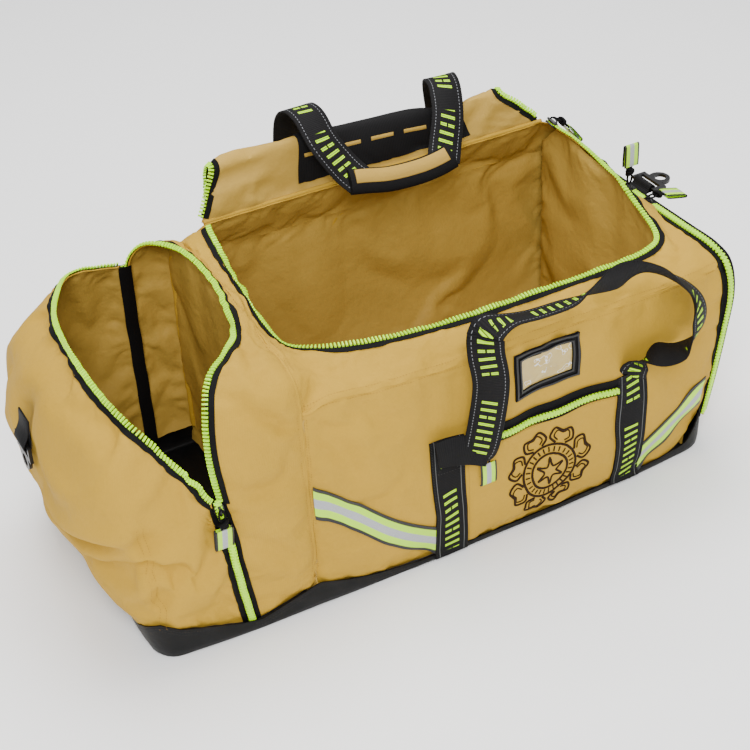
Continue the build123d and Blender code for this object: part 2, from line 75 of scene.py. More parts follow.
CLOTH = 1.6               # canvas thickness
GRID = 8.0                # spacing of a panel's grid while it settles
FINER = 2                 # how much finer the finished panel is
SETTLE_FRAMES = 16
BENDING = 6.0             # the cloth's stiffness in bending while it settles
ZIP_STEP = 3.0            # spacing of the points along a zip
STRIP_STEP = 5.0          # and along a strip of webbing or a seam
TAPE = 1.0                # zip tape thickness
TAPE_WIDTH = 11.0
TOOTH_PITCH = 4.4
TOOTH_REACH = 6.0
WEB_THICK = 2.0
TRIM_WIDTH = 45.0
WALL_THICK = 2.4          # the lined walls inside
BOARD_THICK = 4.0
PAN_THICK = 1.8
PAN_CORNER = 26.0         # radius of the base's corners, seen from above
FRONT_BOW = 13.0          # how far the loaded front bulges over its bottom edge
BOW_TOP = 230.0           # height where that bulge ends
FRONT_AT = 190.0          # a little outside the bag's front and back, where laid pieces start
# Height of the base's sewn top edge along the front: the cloth hangs over it by the pocket.
BASE_EDGE = np.array([(-372, 56), (-353, 42), (-319, 31), (-287, 21), (-258, 15), (-229, 23),
                      (-182, 36), (-150, 25), (-110, 16), (-50, 9), (210, 9), (300, 11), (345, 16),
                      (362, 40), (374, 54)]).T

UP, RIGHT, REAR = np.array([0, 0, 1.0]), np.array([1.0, 0, 0]), np.array([0, 1.0, 0])


# --- curves, nets and grids ----------------------------------------------------------------
def spline(points, t):
    """Catmull-Rom through points along the first axis, at parameters t."""
    p = np.asarray(points, float)
    p = np.concatenate([2 * p[:1] - p[1:2], p, 2 * p[-1:] - p[-2:-1]])
    i = np.minimum(t.astype(int), len(p) - 4)
    f = (t - i).reshape((-1,) + (1,) * (p.ndim - 1))
    a, b, c, d = (p[i + k] for k in range(4))
    return 0.5 * (2 * b + (c - a) * f + (2 * a - 5 * b + 4 * c - d) * f**2 + (3 * b - a - 3 * c + d) * f**3)


def step_lengths(net):
    """Mean distance between neighbours along the first axis."""
    step = np.linalg.norm(np.diff(net, axis=0), axis=-1)
    return step if step.ndim == 1 else step.mean(axis=1)


def running_length(net):
    """Distance run along the first axis, from 0 at its start."""
    return np.concatenate([[0], np.cumsum(step_lengths(net))])


def even(net, count=None, spacing=GRID):
    """Smooth a curve or net along its first axis, in even steps."""
    t = np.linspace(0, len(net) - 1, 16 * (len(net) - 1) + 1)
    length = running_length(spline(net, t))
    count = count or max(2, round(length[-1] / spacing) + 1)
    return spline(net, np.interp(np.linspace(0, length[-1], count), length, t))


def surface(net, spacing=GRID):
    """Smooth a net of control points both ways into an even grid."""
    rows = even(np.asarray(net, float), spacing=spacing)
    return even(rows.swapaxes(0, 1), spacing=spacing).swapaxes(0, 1)


def finer(grid):
    """Smooth a grid to a finer one, both ways."""
    for _ in range(2):
        grid = spline(grid, np.linspace(0, len(grid) - 1, FINER * (len(grid) - 1) + 1)).swapaxes(0, 1)
    return grid


def unit(v):
    return v / np.maximum(np.linalg.norm(v, axis=-1, keepdims=True), 1e-9)


def tangents(path):
    return unit(np.gradient(path, axis=0))


def normals(grid):
    """The way each point of a grid faces."""
    return unit(np.cross(np.gradient(grid, axis=0), np.gradient(grid, axis=1)))


def polar(reach, turn):
    """Points at a distance from the middle, and an angle round it."""
    return np.stack([reach * np.cos(turn), reach * np.sin(turn)], axis=-1)


def smooth(values, rounds=2):
    """Average each point with its neighbours along the first axis, the ends kept."""
    for _ in range(rounds):
        values = values.copy()
        values[1:-1] = (values[:-2] + 2 * values[1:-1] + values[2:]) / 4
    return values


def shares(grid):
    """How far along each axis every grid point is, from 0 to 1."""
    u = np.linspace(0, 1, grid.shape[0])[:, None]
    v = np.linspace(0, 1, grid.shape[1])[None, :]
    return u, v


def line_distance(points, line):
    """Distance to a polyline, and the share of the line where the nearest place is."""
    best = np.full(points.shape[:-1], 1e9)
    share = np.zeros(points.shape[:-1])
    for k, (a, b) in enumerate(zip(line[:-1], line[1:])):
        along = np.clip((points - a) @ (b - a) / ((b - a) @ (b - a)), 0, 1)
        distance = np.linalg.norm(points - a - along[..., None] * (b - a), axis=-1)
        share = np.where(distance < best, (k + along) / (len(line) - 1), share)
        best = np.minimum(best, distance)
    return best, share


def crease(grid, line, depth, width):
    """Press a fold into the cloth along a line: a valley between two soft shoulders.
    A negative depth makes a ridge. The fold fades out towards the ends of the line."""
    distance, share = line_distance(grid, even(line, count=14))
    ends = np.sin(math.pi * np.clip(share, 0.03, 0.97)) ** 0.7
    r = distance / width
    shape = np.exp(-1.6 * r**2) - 0.5 * np.exp(-((r - 1.9) ** 2) / 0.8)
    return grid - normals(grid) * (depth * ends * shape * (r < 4))[..., None]


def waves(grid, height, length, seed):
    """Low irregular swells over a grid, none at its border."""
    rng = np.random.default_rng(seed)
    total = np.zeros(grid.shape[:2])
    for _ in range(9):
        way = unit(rng.normal(size=3)) * 2 * math.pi / (length * rng.uniform(0.7, 1.6))
        total += np.sin(grid @ way + rng.uniform(0, 2 * math.pi))
    u, v = shares(grid)
    edge = np.clip(np.minimum(8 * np.minimum(u, 1 - u), 5 * np.minimum(v, 1 - v)), 0, 1)
    return grid + normals(grid) * (height * total / 3 * edge)[..., None]


# --- mesh building -------------------------------------------------------------------------
def grid_faces(rows, columns, around=False):
    """Quads of a grid of points, its second axis closed when around."""
    i, j = np.meshgrid(np.arange(rows - 1), np.arange(columns if around else columns - 1), indexing="ij")
    i, j, k = i.ravel(), j.ravel(), (j.ravel() + 1) % columns
    return np.stack([i * columns + j, (i + 1) * columns + j, (i + 1) * columns + k, i * columns + k], axis=1)


class Shape:
    """A mesh put together part by part, in millimetres, with one UV per point."""

    def __init__(self):
        self.points, self.uvs, self.faces, self.slots = [], [], [], []
        self.total = 0

    def add(self, points, faces, uv=None, slot=0):
        points = np.asarray(points, float).reshape(-1, 3)
        self.points.append(points)
        self.uvs.append(np.zeros((len(points), 2)) if uv is None else uv.reshape(-1, 2))
        self.faces.append(np.asarray(faces) + self.total)
        self.slots.append(np.broadcast_to(slot, len(faces)))
        self.total += len(points)
        return self

    def sheet(self, grid, thickness, outer=0, inner=0, uv=None):
        """A grid given thickness behind its face, closed round its border."""
        rows, columns = grid.shape[:2]
        if uv is None:
            lengths = [running_length(grid), running_length(grid.swapaxes(0, 1))]
            uv = np.stack(np.meshgrid(*lengths, indexing="ij"), axis=-1) * MM
        behind = grid - normals(grid) * thickness
        faces = grid_faces(rows, columns)
        self.add(grid, faces, uv, outer)
        self.add(behind, faces[:, ::-1], uv, inner)
        ring = [(i, 0) for i in range(rows)] + [(rows - 1, j) for j in range(1, columns)]
        ring += [(i, columns - 1) for i in range(rows - 2, -1, -1)]
        ring += [(0, j) for j in range(columns - 2, 0, -1)]
        i, j = np.array(ring).T
        border = np.stack([grid[i, j], behind[i, j]], axis=1)
        border = np.concatenate([border, border[:1]])
        edge_uv = np.stack([uv[i, j], uv[i, j]], axis=1)
        edge_uv = np.concatenate([edge_uv, edge_uv[:1]])
        return self.add(border, grid_faces(len(border), 2)[:, ::-1], edge_uv, outer)

    def sweep(self, path, across, outline, slot=0, under=None):
        """Carry a closed outline of (across, off) pairs along a path, capped at both ends.
        With an under slot, only the fifth side of the outline, a strip's face, has the slot."""
        along = tangents(path)
        across = np.broadcast_to(across, path.shape)
        across = unit(across - along * (across * along).sum(axis=-1, keepdims=True))
        off = np.cross(across, along)
        outline = np.asarray(outline, float)
        points = path[:, None] + across[:, None] * outline[None, :, :1] + off[:, None] * outline[None, :, 1:]
        width = np.ptp(outline[:, 0])
        u = (outline[:, 0] - outline[:, 0].min()) / width
        uv = np.stack(np.meshgrid(running_length(path) * MM, u, indexing="ij"), axis=-1)[..., ::-1]
        count = len(outline)
        faces = grid_faces(len(path), count, around=True)
        side = np.arange(len(faces)) % count
        self.add(points, faces, uv, slot if under is None else np.where(side == 4, slot, under))
        for end, order in ((0, 1), (len(path) - 1, -1)):
            middle = points[end].mean(axis=0)
            fan = [(count, i, (i + 1) % count, count)[::order][:3] for i in range(count)]
            ends_uv = np.concatenate([uv[end], uv[end].mean(axis=0, keepdims=True)])
            self.add(np.concatenate([points[end], middle[None]]), fan_quads(fan), ends_uv, slot)
        return self

    def repeat(self, points, faces, places, axes, slot=0):
        """Put a copy of a small part at each place, turned to its three axes."""
        copies = places[:, None] + np.einsum("pk,nkc->npc", np.asarray(points, float), axes)
        faces = np.asarray(faces)[None] + (np.arange(len(places)) * len(points))[:, None, None]
        return self.add(copies, faces.reshape(-1, faces.shape[-1]), slot=slot)

    def build(self, name, materials):
        """Make the Blender object."""
        mesh = bpy.data.meshes.new(name)
        points = np.concatenate(self.points) * MM
        faces = [[int(i) for i in dict.fromkeys(face)] for part in self.faces for face in part.tolist()]
        mesh.from_pydata(points.tolist(), [], faces)
        uv = np.concatenate(self.uvs)
        corners = np.zeros(len(mesh.loops), int)
        mesh.loops.foreach_get("vertex_index", corners)
        layer = mesh.uv_layers.new(name="UVMap")
        layer.data.foreach_set("uv", uv[corners].ravel())
        mesh.polygons.foreach_set("material_index", np.concatenate(self.slots).astype(int))
        for material in materials:
            mesh.materials.append(material)
        mesh.shade_smooth()
        mesh.set_sharp_from_angle(angle=math.radians(50))
        piece = bpy.data.objects.new(name, mesh)
        bpy.context.scene.collection.objects.link(piece)
        return piece


def fan_quads(triangles):
    """Triangles written as four-cornered faces with the first corner repeated."""
    return np.array([(*t, t[0]) for t in triangles])


def strip(width, thickness):
    """Outline of a flat strip with softened edges, lying on its path."""
    half, soft = width / 2, min(0.45 * thickness, 0.8)
    return [(-half + soft, 0), (half - soft, 0), (half, soft), (half, thickness - soft),
            (half - soft, thickness), (-half + soft, thickness), (-half, thickness - soft), (-half, soft)]


def disc(radius, count=10, flat=1.0):
    """Outline of a round or flattened cord."""
    return polar(radius, np.arange(count) * 2 * math.pi / count) * (1, flat)


def finish_piece(shape, name, materials, body, replaces=(), blend=None):
    """Build a piece and hang it on its body, or with a blend leave it in place on no body, and hide the CAD
    parts it stands for.
    """
    piece = shape.build(name, materials)
    if blend:
        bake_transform(piece)
    else:
        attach(piece, body)
    if replaces:
        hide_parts(*replaces)
    return piece


# --- materials -----------------------------------------------------------------------------
def rgb(red, green, blue):
    """Linear colour from the usual 0 to 255 values."""
    return (*[((c / 255 + 0.055) / 1.055) ** 2.4 for c in (red, green, blue)], 1.0)


def shade(colour, share):
    """A darker or lighter tone of a colour."""
    return (*[c * share for c in colour[:3]], 1.0)


TAN = rgb(184, 145, 44)
TAN_INSIDE = rgb(176, 142, 62)
BLACK = rgb(11, 10, 11)
LIME = rgb(184, 240, 0)
SILVER = rgb(158, 160, 164)
GREY = rgb(128, 130, 130)
BROWN = rgb(44, 28, 12)


class Material:
    """A node material, built up node by node."""

    def __init__(self, name, roughness, coat=0.0, specular=0.4):
        self.material = bpy.data.materials.new(name)
        self.material.use_nodes = True
        self.tree = self.material.node_tree
        self.shader = self.tree.nodes["Principled BSDF"]
        values = {"Roughness": roughness, "Coat Weight": coat, "Specular IOR Level": specular}
        for socket, value in values.items():
            self.shader.inputs[socket].default_value = value

    def feed(self, socket, value):
        """Link another node's output to a socket, or set a plain value on it."""
        if isinstance(value, bpy.types.NodeSocket):
            self.tree.links.new(value, socket)
        else:
            socket.default_value = value

    def node(self, kind, inputs, output=0, **settings):
        node = self.tree.nodes.new(kind)
        for name, value in settings.items():
            setattr(node, name, value)
        for key, value in inputs.items():
            self.feed(node.inputs[key], value)
        return node.outputs[output]

    def math(self, operation, *values, clamp=False):
        return self.node("ShaderNodeMath", dict(enumerate(values)), operation=operation, use_clamp=clamp)

    def mix(self, factor, a, b):
        return self.node("ShaderNodeMix", {0: factor, 6: a, 7: b}, output=2, data_type="RGBA")

    def place(self):
        return self.node("ShaderNodeTexCoord", {}, output="Object")

    def noise(self, scale, detail=3.0, roughness=0.5):
        inputs = {"Vector": self.place(), "Scale": scale, "Detail": detail, "Roughness": roughness}
        return self.node("ShaderNodeTexNoise", inputs)

    def uv(self):
        parts = self.tree.nodes.new("ShaderNodeSeparateXYZ")
        self.feed(parts.inputs[0], self.node("ShaderNodeTexCoord", {}, output="UV"))
        return parts.outputs[0], parts.outputs[1]

    def wave(self, coordinate, period):
        """A sine of a coordinate, from 0 to 1."""
        turn = self.math("SINE", self.math("MULTIPLY", coordinate, 2 * math.pi / period))
        return self.math("MULTIPLY_ADD", turn, 0.5, 0.5)

    def band(self, coordinate, low, high, soft=0.01):
        """1 between low and high, 0 outside."""
        rise = self.math("MULTIPLY", self.math("SUBTRACT", coordinate, low), 1 / soft, clamp=True)
        fall = self.math("MULTIPLY", self.math("SUBTRACT", high, coordinate), 1 / soft, clamp=True)
        return self.math("MULTIPLY", rise, fall)

    def bump(self, *layers):
        """Stack bump layers: each a height, its strength and its depth in millimetres."""
        normal = None
        for height, strength, depth in layers:
            inputs = {"Height": height, "Strength": strength, "Distance": depth * MM}
            if normal:
                inputs["Normal"] = normal
            normal = self.node("ShaderNodeBump", inputs)
        self.feed(self.shader.inputs["Normal"], normal)
        return self

    def colour(self, value):
        self.feed(self.shader.inputs["Base Color"], value)
        return self


def canvas(name, colour, roughness, weave_depth):
    """Plain-woven coated canvas: crossing threads, slubs, uneven dye and small crumples."""
    m = Material(name, roughness=roughness, specular=0.2)
    u, v = m.uv()
    weave = m.math("MULTIPLY", m.wave(u, 0.0015), m.wave(v, 0.0015))
    slub, dye, crumple = m.noise(240.0, 2.0), m.noise(8.0, 4.0), m.noise(16.0, 5.0, 0.6)
    tone = m.mix(weave, shade(colour, 0.9), shade(colour, 1.1))
    tone = m.mix(m.band(dye, 0.35, 1.2, 0.3), tone, shade(colour, 0.84))
    tone = m.mix(m.math("MULTIPLY", slub, 0.3), tone, shade(colour, 1.2))
    m.colour(tone).bump((crumple, 0.5, 9.0), (slub, 0.25, 0.5), (weave, 0.4, weave_depth))
    return m.material


def coated_black(name, roughness, grain):
    """Black coated sheet with a fine leathery grain, scuffed a little greyer in places."""
    m = Material(name, roughness=roughness, specular=0.2)
    cells = m.node("ShaderNodeTexVoronoi", {"Vector": m.place(), "Scale": 1000 / grain})
    scuff = m.noise(26.0, 5.0, 0.65)
    m.colour(m.mix(m.band(scuff, 0.5, 1.2, 0.25), rgb(7, 7, 8), rgb(24, 23, 24)))
    m.bump((m.noise(40.0, 3.0), 0.35, 2.5), (cells, 0.3, 0.3))
    return m.material


def ribbed_black(m, u, v):
    """The rib and the herringbone of black woven webbing: its height and its colour."""
    rib = m.wave(v, 0.0022)
    herringbone = m.wave(m.math("ADD", v, m.math("MULTIPLY", m.math("PINGPONG", u, 0.125), 0.02)), 0.0011)
    height = m.math("ADD", m.math("MULTIPLY", rib, 0.6), m.math("MULTIPLY", herringbone, 0.4))
    return height, m.mix(height, rgb(5, 5, 6), rgb(24, 23, 24))


def webbing(name, dotted=False, marks=True):
    """Black woven webbing: grey edge lines, and slanted lime bars in broken groups down the middle."""
    m = Material(name, roughness=0.7, specular=0.14)
    u, v = m.uv()
    height, tone = ribbed_black(m, u, v)
    if marks:
        for low in (0.115, 0.865):
            line = m.band(u, low, low + 0.022)
            if dotted:
                line = m.math("MULTIPLY", line, m.math("GREATER_THAN", m.wave(v, 0.0042), 0.45))
            tone = m.mix(m.math("MULTIPLY", line, 0.85), tone, SILVER if dotted else GREY)
        slanted = m.math("ADD", v, m.math("MULTIPLY", u, 0.006))
        bars = m.band(m.math("PINGPONG", slanted, 0.0052), 0.0, 0.0021, 0.0006)
        group = m.band(m.math("FLOORED_MODULO", v, 0.118), 0.008, 0.098, 0.001)
        middle = m.band(u, 0.28, 0.72)
        cut = m.math("SUBTRACT", 1.0, m.math("MULTIPLY", m.band(u, 0.47, 0.53),
                                             m.math("GREATER_THAN", m.wave(v, 0.0312), 0.5)))
        mark = m.math("MULTIPLY", m.math("MULTIPLY", bars, group), m.math("MULTIPLY", middle, cut))
        tone = m.mix(mark, tone, LIME)
    m.colour(tone).bump((height, 0.5, 0.4))
    return m.material


def reflective(name):
    """Sewn trim: a silver reflective band between two lime ones, bound in black at both edges."""
    m = Material(name, roughness=0.45, specular=0.5)
    u, v = m.uv()
    glitter = m.noise(900.0, 1.0)
    mesh = m.math("MULTIPLY", m.wave(u, 0.02), m.wave(v, 0.0012))
    lime = m.mix(mesh, shade(LIME, 0.88), shade(LIME, 1.08))
    silver = m.mix(glitter, shade(SILVER, 0.8), shade(SILVER, 1.25))
    tone = m.mix(m.band(u, 0.35, 0.65), lime, silver)
    tone = m.mix(m.band(u, 0.11, 0.89), BLACK, tone)
    m.colour(tone).bump((mesh, 0.3, 0.25), (glitter, 0.15, 0.1))
    return m.material


def woven_tape(name, colour):
    """Fine dense tape, such as a zip's."""
    m = Material(name, roughness=0.75, specular=0.14)
    u, v = m.uv()
    rib = m.math("MULTIPLY", m.wave(v, 0.0016), m.wave(u, 0.0016))
    m.colour(m.mix(rib, shade(colour, 0.7), shade(colour, 1.5))).bump((rib, 0.5, 0.2))
    return m.material


def moulded(name, colour, roughness, grain):
    """Moulded plastic or painted metal: a fine texture and slight unevenness of tone."""
    m = Material(name, roughness=roughness)
    tone, texture = m.noise(60.0, 4.0), m.noise(1400.0, 2.0)
    m.colour(m.mix(tone, shade(colour, 0.82), shade(colour, 1.2))).bump((texture, grain, 0.15))
    return m.material


def thread(name, colour):
    """Dull twisted thread or cord."""
    m = Material(name, roughness=0.7, specular=0.1)
    twist = m.noise(1800.0, 1.0)
    m.colour(m.mix(twist, shade(colour, 0.7), shade(colour, 1.25))).bump((twist, 0.4, 0.2))
    return m.material


def clear_vinyl(name):
    """Clear sheet over the canvas, with thin streaks of painted white reflection across it."""
    m = Material(name, roughness=0.1, coat=0.8, specular=0.6)
    ripple, painted_reflection_streaks = m.noise(55.0, 4.0), m.noise(70.0, 2.0)
    tone = m.mix(ripple, rgb(176, 146, 62), rgb(206, 178, 96))
    # The thin near-white streaks are painted reflection of the lights, not a colour of the sheet.
    m.colour(m.mix(m.band(painted_reflection_streaks, 0.6, 0.63, 0.012), tone, rgb(240, 240, 236))).bump((ripple, 0.8, 5.0))
    m.shader.inputs["Alpha"].default_value = 0.85
    return m.material


CANVAS = canvas("tan_canvas", TAN, 0.75, 0.35)
CANVAS_INSIDE = canvas("coated_inside", TAN_INSIDE, 0.6, 0.15)
PVC = coated_black("black_base", 0.5, 1.4)
WEB_PLAIN = webbing("plain_webbing", marks=False)
WEB_STRAP = webbing("strap_webbing")
WEB_HANDLE = webbing("handle_webbing", dotted=True)
TRIM = reflective("reflective_trim")
ZIP_TAPE = woven_tape("zip_tape", BLACK)
WRAP_CLOTH = woven_tape("grip_wrap", rgb(14, 13, 14))
TEETH = moulded("lime_teeth", LIME, 0.32, 0.1)
HARDWARE = moulded("black_hardware", rgb(12, 12, 13), 0.38, 0.3)
CORD = thread("black_cord", BLACK)
TAN_THREAD = thread("tan_thread", rgb(150, 112, 48))
GREY_THREAD = thread("grey_thread", rgb(58, 56, 54))
BROWN_THREAD = thread("brown_thread", BROWN)
VINYL = clear_vinyl("clear_vinyl")


# --- cloth ---------------------------------------------------------------------------------
def settle(grid, growth, pull, cap):
    """Let a grid settle as cloth that is a little too large, pinned along its border."""
    rows, columns = grid.shape[:2]
    mesh = bpy.data.meshes.new("settling")
    mesh.from_pydata((grid.reshape(-1, 3) * MM).tolist(), [], grid_faces(rows, columns).tolist())
    cloth = bpy.data.objects.new("settling", mesh)
    bpy.context.scene.collection.objects.link(cloth)
    border = np.ones((rows, columns), bool)
    border[1:-1, 1:-1] = False
    pins = cloth.vertex_groups.new(name="pins")
    pins.add(np.flatnonzero(border.ravel()).tolist(), 1.0, "REPLACE")
    modifier = cloth.modifiers.new("Cloth", "CLOTH")
    modifier.point_cache.frame_end = SETTLE_FRAMES
    settings = modifier.settings
    settings.quality = 6
    settings.mass = 0.25
    settings.tension_stiffness = settings.compression_stiffness = 30
    settings.shear_stiffness = 15
    settings.bending_stiffness = BENDING
    settings.vertex_group_mass = "pins"
    settings.shrink_min = -growth
    settings.effector_weights.gravity = pull
    for frame_number in range(1, SETTLE_FRAMES + 1):
        bpy.context.scene.frame_set(frame_number)
    settled = cloth.evaluated_get(bpy.context.evaluated_depsgraph_get()).data
    points = np.zeros(rows * columns * 3)
    settled.vertices.foreach_get("co", points)
    bpy.data.objects.remove(cloth)
    bpy.context.scene.frame_set(1)
    move = points.reshape(grid.shape) / MM - grid
    size = np.linalg.norm(move, axis=-1, keepdims=True)
    return grid + move * np.minimum(1, cap / np.maximum(size, 1e-6))


def tuck(grid, depth=2.2, pucker=0.9):
    """Pull a panel's border in behind its face and pucker the cloth beside it, as sewing does."""
    rows, columns = grid.shape[:2]
    i, j = np.meshgrid(np.arange(rows), np.arange(columns), indexing="ij")
    inward = np.minimum(np.minimum(i, rows - 1 - i), np.minimum(j, columns - 1 - j))
    ripple = np.sin(0.9 * (i + j) + 2.5 * np.sin(0.23 * (i - j)) + 1.7 * np.sin(0.31 * (i + j)))
    raised = pucker * ripple * np.exp(-((inward - 3.5) / 2.6) ** 2) - depth * np.exp(-(inward / 1.1) ** 2)
    return grid + normals(grid) * raised[..., None]


def bowed(points):
    """Push the lower part of the front outward, as the loaded bag does over its base."""
    points = np.array(points, float)
    x, y, z = np.moveaxis(points, -1, 0)
    along = 1 - np.clip(np.abs(x) / 400, 0, 1) ** 3
    points[..., 1] -= FRONT_BOW * along * np.clip(1 - z / BOW_TOP, 0, 1) * np.clip((-y - 110) / 60, 0, 1)
    return points


def base_edge(x, y):
    """Height of the base's sewn top edge at a place on its outline."""
    side = 34 + 1.6 * np.sin(x / 47 + y / 31)
    return side + np.clip((-y - 138) / 30, 0, 1) * (np.interp(x, *BASE_EDGE) - side)


def relax(net, swells, creases=(), growth=0.012, pull=0.2, cap=7.0):
    """A control net made into a finished cloth grid. The swells are a height, a length and a seed.
    The cloth grows by a share of its size, sags with the pull, and moves no further than the cap."""
    grid = waves(surface(bowed(net)), *swells)
    for line, depth, width in creases:
        grid = crease(grid, line, depth, width)
    grid = settle(grid, growth, pull, cap)
    return tuck(finer(grid))


# --- the panels' control nets --------------------------------------------------------------
# Helmet end: the stuffed sheet left of the open zip, from the back zip round the end to the
# front one. Each row is one upright, from the foot to the zip edge.
HELMET_LEFT = [
    [(-251, 174, 28), (-250, 177, 95), (-250, 179, 150),
     (-250, 179, 185), (-250, 178, 240), (-252, 176, 297)],
    [(-330, 174, 28), (-333, 179, 95), (-335, 182, 150),
     (-334, 183, 195), (-330, 181, 262), (-314, 160, 316)],
    [(-371, 160, 28), (-392, 170, 95), (-402, 170, 145),
     (-407, 169, 195), (-394, 160, 272), (-348, 112, 326)],
    [(-383, 100, 28), (-408, 102, 95), (-420, 100, 150),
     (-431, 98, 205), (-417, 92, 290), (-371, 52, 330)],
    [(-383, 0, 28), (-413, 0, 95), (-420, 0, 150),
     (-433, 0, 208), (-428, -4, 298), (-379, -20, 332)],
    [(-384, -100, 28), (-409, -100, 95), (-411, -100, 155),
     (-434, -104, 206), (-427, -100, 290), (-378, -88, 327)],
    [(-373, -158, 28), (-391, -168, 92), (-391, -168, 160),
     (-408, -174, 207), (-400, -163, 272), (-370, -138, 317)],
    [(-358, -170, 36), (-364, -178, 95), (-367, -180, 155),
     (-371, -188, 205), (-369, -180, 258), (-357, -163, 303)],
    [(-322, -170, 26), (-326, -180, 82), (-328, -184, 130),
     (-330, -188, 175), (-330, -186, 220), (-327, -177, 252)],
    [(-272, -170, 12), (-282, -176, 70), (-287, -178, 110),
     (-290, -179, 145), (-294, -178, 178), (-297, -177, 203)],
]
# The strip between the open zip and the divider seam, from the back foot over the top to the
# front foot. Each row goes from the zip edge to the seam.
HELMET_RIGHT = [
    [(-241, 174, 30), (-222, 175, 30), (-203, 175, 30), (-185, 175, 30)],
    [(-241, 180, 110), (-223, 182, 110), (-204, 181, 110), (-185, 178, 110)],
    [(-241, 181, 190), (-223, 184, 190), (-204, 183, 190), (-185, 178, 190)],
    [(-242, 178, 262), (-224, 181, 262), (-204, 181, 262), (-185, 178, 260)],
    [(-241, 173, 300), (-222, 178, 298), (-203, 178, 294), (-184, 175, 290)],
    [(-226, 165, 322), (-211, 168, 318), (-196, 167, 314), (-182, 164, 309)],
    [(-207, 142, 331), (-197, 146, 328), (-188, 147, 325), (-181, 144, 320)],
    [(-192, 105, 335), (-188, 107, 333), (-184, 108, 330), (-180, 108, 327)],
    [(-187, 50, 335), (-185, 50, 333), (-182, 50, 331), (-180, 50, 329)],
    [(-193, -11, 334), (-189, -14, 332), (-185, -17, 330), (-182, -20, 327)],
    [(-214, -84, 334), (-203, -90, 335), (-193, -97, 330), (-184, -102, 323)],
    [(-242, -118, 337), (-222, -127, 337), (-202, -134, 331), (-184, -138, 321)],
    [(-268, -142, 336), (-243, -150, 334), (-213, -158, 327), (-185, -164, 314)],
    [(-286, -165, 316), (-253, -173, 312), (-217, -178, 305), (-185, -176, 294)],
    [(-293, -176, 262), (-259, -182, 262), (-220, -184, 260), (-185, -178, 256)],
    [(-288, -178, 203), (-252, -187, 200), (-216, -188, 198), (-185, -178, 196)],
    [(-279, -179, 140), (-248, -187, 138), (-214, -187, 136), (-185, -178, 134)],
    [(-272, -177, 85), (-244, -182, 84), (-214, -182, 82), (-185, -178, 82)],
    [(-263, -170, 9), (-240, -170, 14), (-212, -170, 22), (-185, -170, 29)],
]
# The ring of cloth round the opening, counterclockwise from above, from its back left corner.
# Each row goes from the outer seam to the rim.
TOP_RING = [
    [(-183, 174, 290), (-166, 158, 316), (-149, 141, 341)],
    [(-182, 160, 312), (-168, 138, 328), (-154, 116, 337)],
    [(-180, 108, 327), (-169, 86, 328), (-158, 66, 326)],
    [(-180, 40, 329), (-170, 20, 324), (-161, 2, 313)],
    [(-182, -35, 326), (-173, -42, 317), (-163, -46, 304)],
    [(-184, -102, 323), (-172, -92, 314), (-159, -80, 301)],
    [(-185, -150, 318), (-167, -126, 312), (-147, -99, 301)],
    [(-185, -172, 302), (-161, -144, 305), (-132, -110, 302)],
    [(-185, -178, 273), (-152, -156, 291), (-114, -119, 301)],
    [(-150, -179, 279), (-121, -158, 289), (-88, -126, 299)],
    [(-95, -178, 272), (-74, -159, 285), (-50, -131, 296)],
    [(20, -178, 265), (28, -160, 281), (36, -137, 293)],
    [(140, -178, 266), (140, -160, 280), (140, -137, 292)],
    [(245, -178, 266), (242, -160, 280), (238, -137, 292)],
    [(325, -177, 267), (308, -158, 281), (291, -134, 292)],
    [(377, -173, 268), (348, -151, 283), (323, -123, 293)],
    [(380, -148, 280), (358, -126, 287), (338, -100, 296)],
    [(378, -100, 283), (360, -82, 294), (342, -62, 308)],
    [(378, -30, 284), (362, -20, 305), (344, -10, 325)],
    [(378, 50, 284), (362, 54, 311), (344, 60, 336)],
    [(378, 118, 283), (360, 116, 313), (340, 113, 341)],
    [(374, 164, 276), (354, 154, 310), (333, 140, 342)],
    [(330, 177, 280), (316, 160, 310), (301, 141, 341)],
    [(200, 177, 280), (200, 160, 310), (200, 141, 341)],
    [(60, 177, 280), (60, 160, 310), (60, 141, 341)],
    [(-80, 177, 281), (-80, 160, 310), (-80, 141, 341)],
    [(-168, 177, 284), (-155, 160, 312), (-140, 141, 341)],
    [(-183, 174, 290), (-166, 158, 316), (-149, 141, 341)],
]


def side_panel(front):
    """The long front or back panel: uprights from the divider seam to the end pocket's zip."""
    if front:
        top = [(-185, 273), (-150, 279), (-95, 272), (20, 265), (140, 266), (245, 266), (325, 267),
               (377, 268)]
        leans = (-2, 4, 11, 14, 0)
    else:
        top = [(-185, 289), (-150, 285), (-95, 281), (20, 280), (140, 280), (245, 280), (325, 281),
               (372, 279)]
        leans = (0, 2, 4, 4, 0)
    net = []
    for x, z_top in top:
        middle = math.sin(math.pi * np.clip((x + 185) / 562, 0, 1)) ** 0.6 * (1 if front else 0.2)
        end = np.clip((x - 325) / 47, 0, 1)
        foot = base_edge(x, -HALF_W) - 7 if front else 28.0
        rows = []
        for share, lean in zip((0, 0.3, 0.6, 0.85, 1), leans):
            arch = math.sin(math.pi * share)
            out = 2 + 4 * middle * arch - 4 * end * (1 - 0.6 * arch)
            y = HALF_W + out - (0 if share else 7)
            rows.append((x + lean * end, -y if front else y, foot + share * (z_top - foot)))
        net.append(rows)
    return net if front else net[::-1]


def end_zip_line():
    """The end pocket's zip: up the front corner, over the top and down the back corner."""
    front = [(379, -168, 44), (384, -173, 100), (392, -175, 165), (398, -175, 222), (394, -168, 262),
             (387, -146, 280), (382, -100, 284.4), (381, -30, 284.4), (381, 12, 284.4)]
    back = [(381, 70, 284.4), (381, 118, 284), (382, 148, 277), (384, 165, 256), (384, 168, 180),
            (381, 168, 100), (379, 167, 44)]
    return even(front + back, spacing=ZIP_STEP)


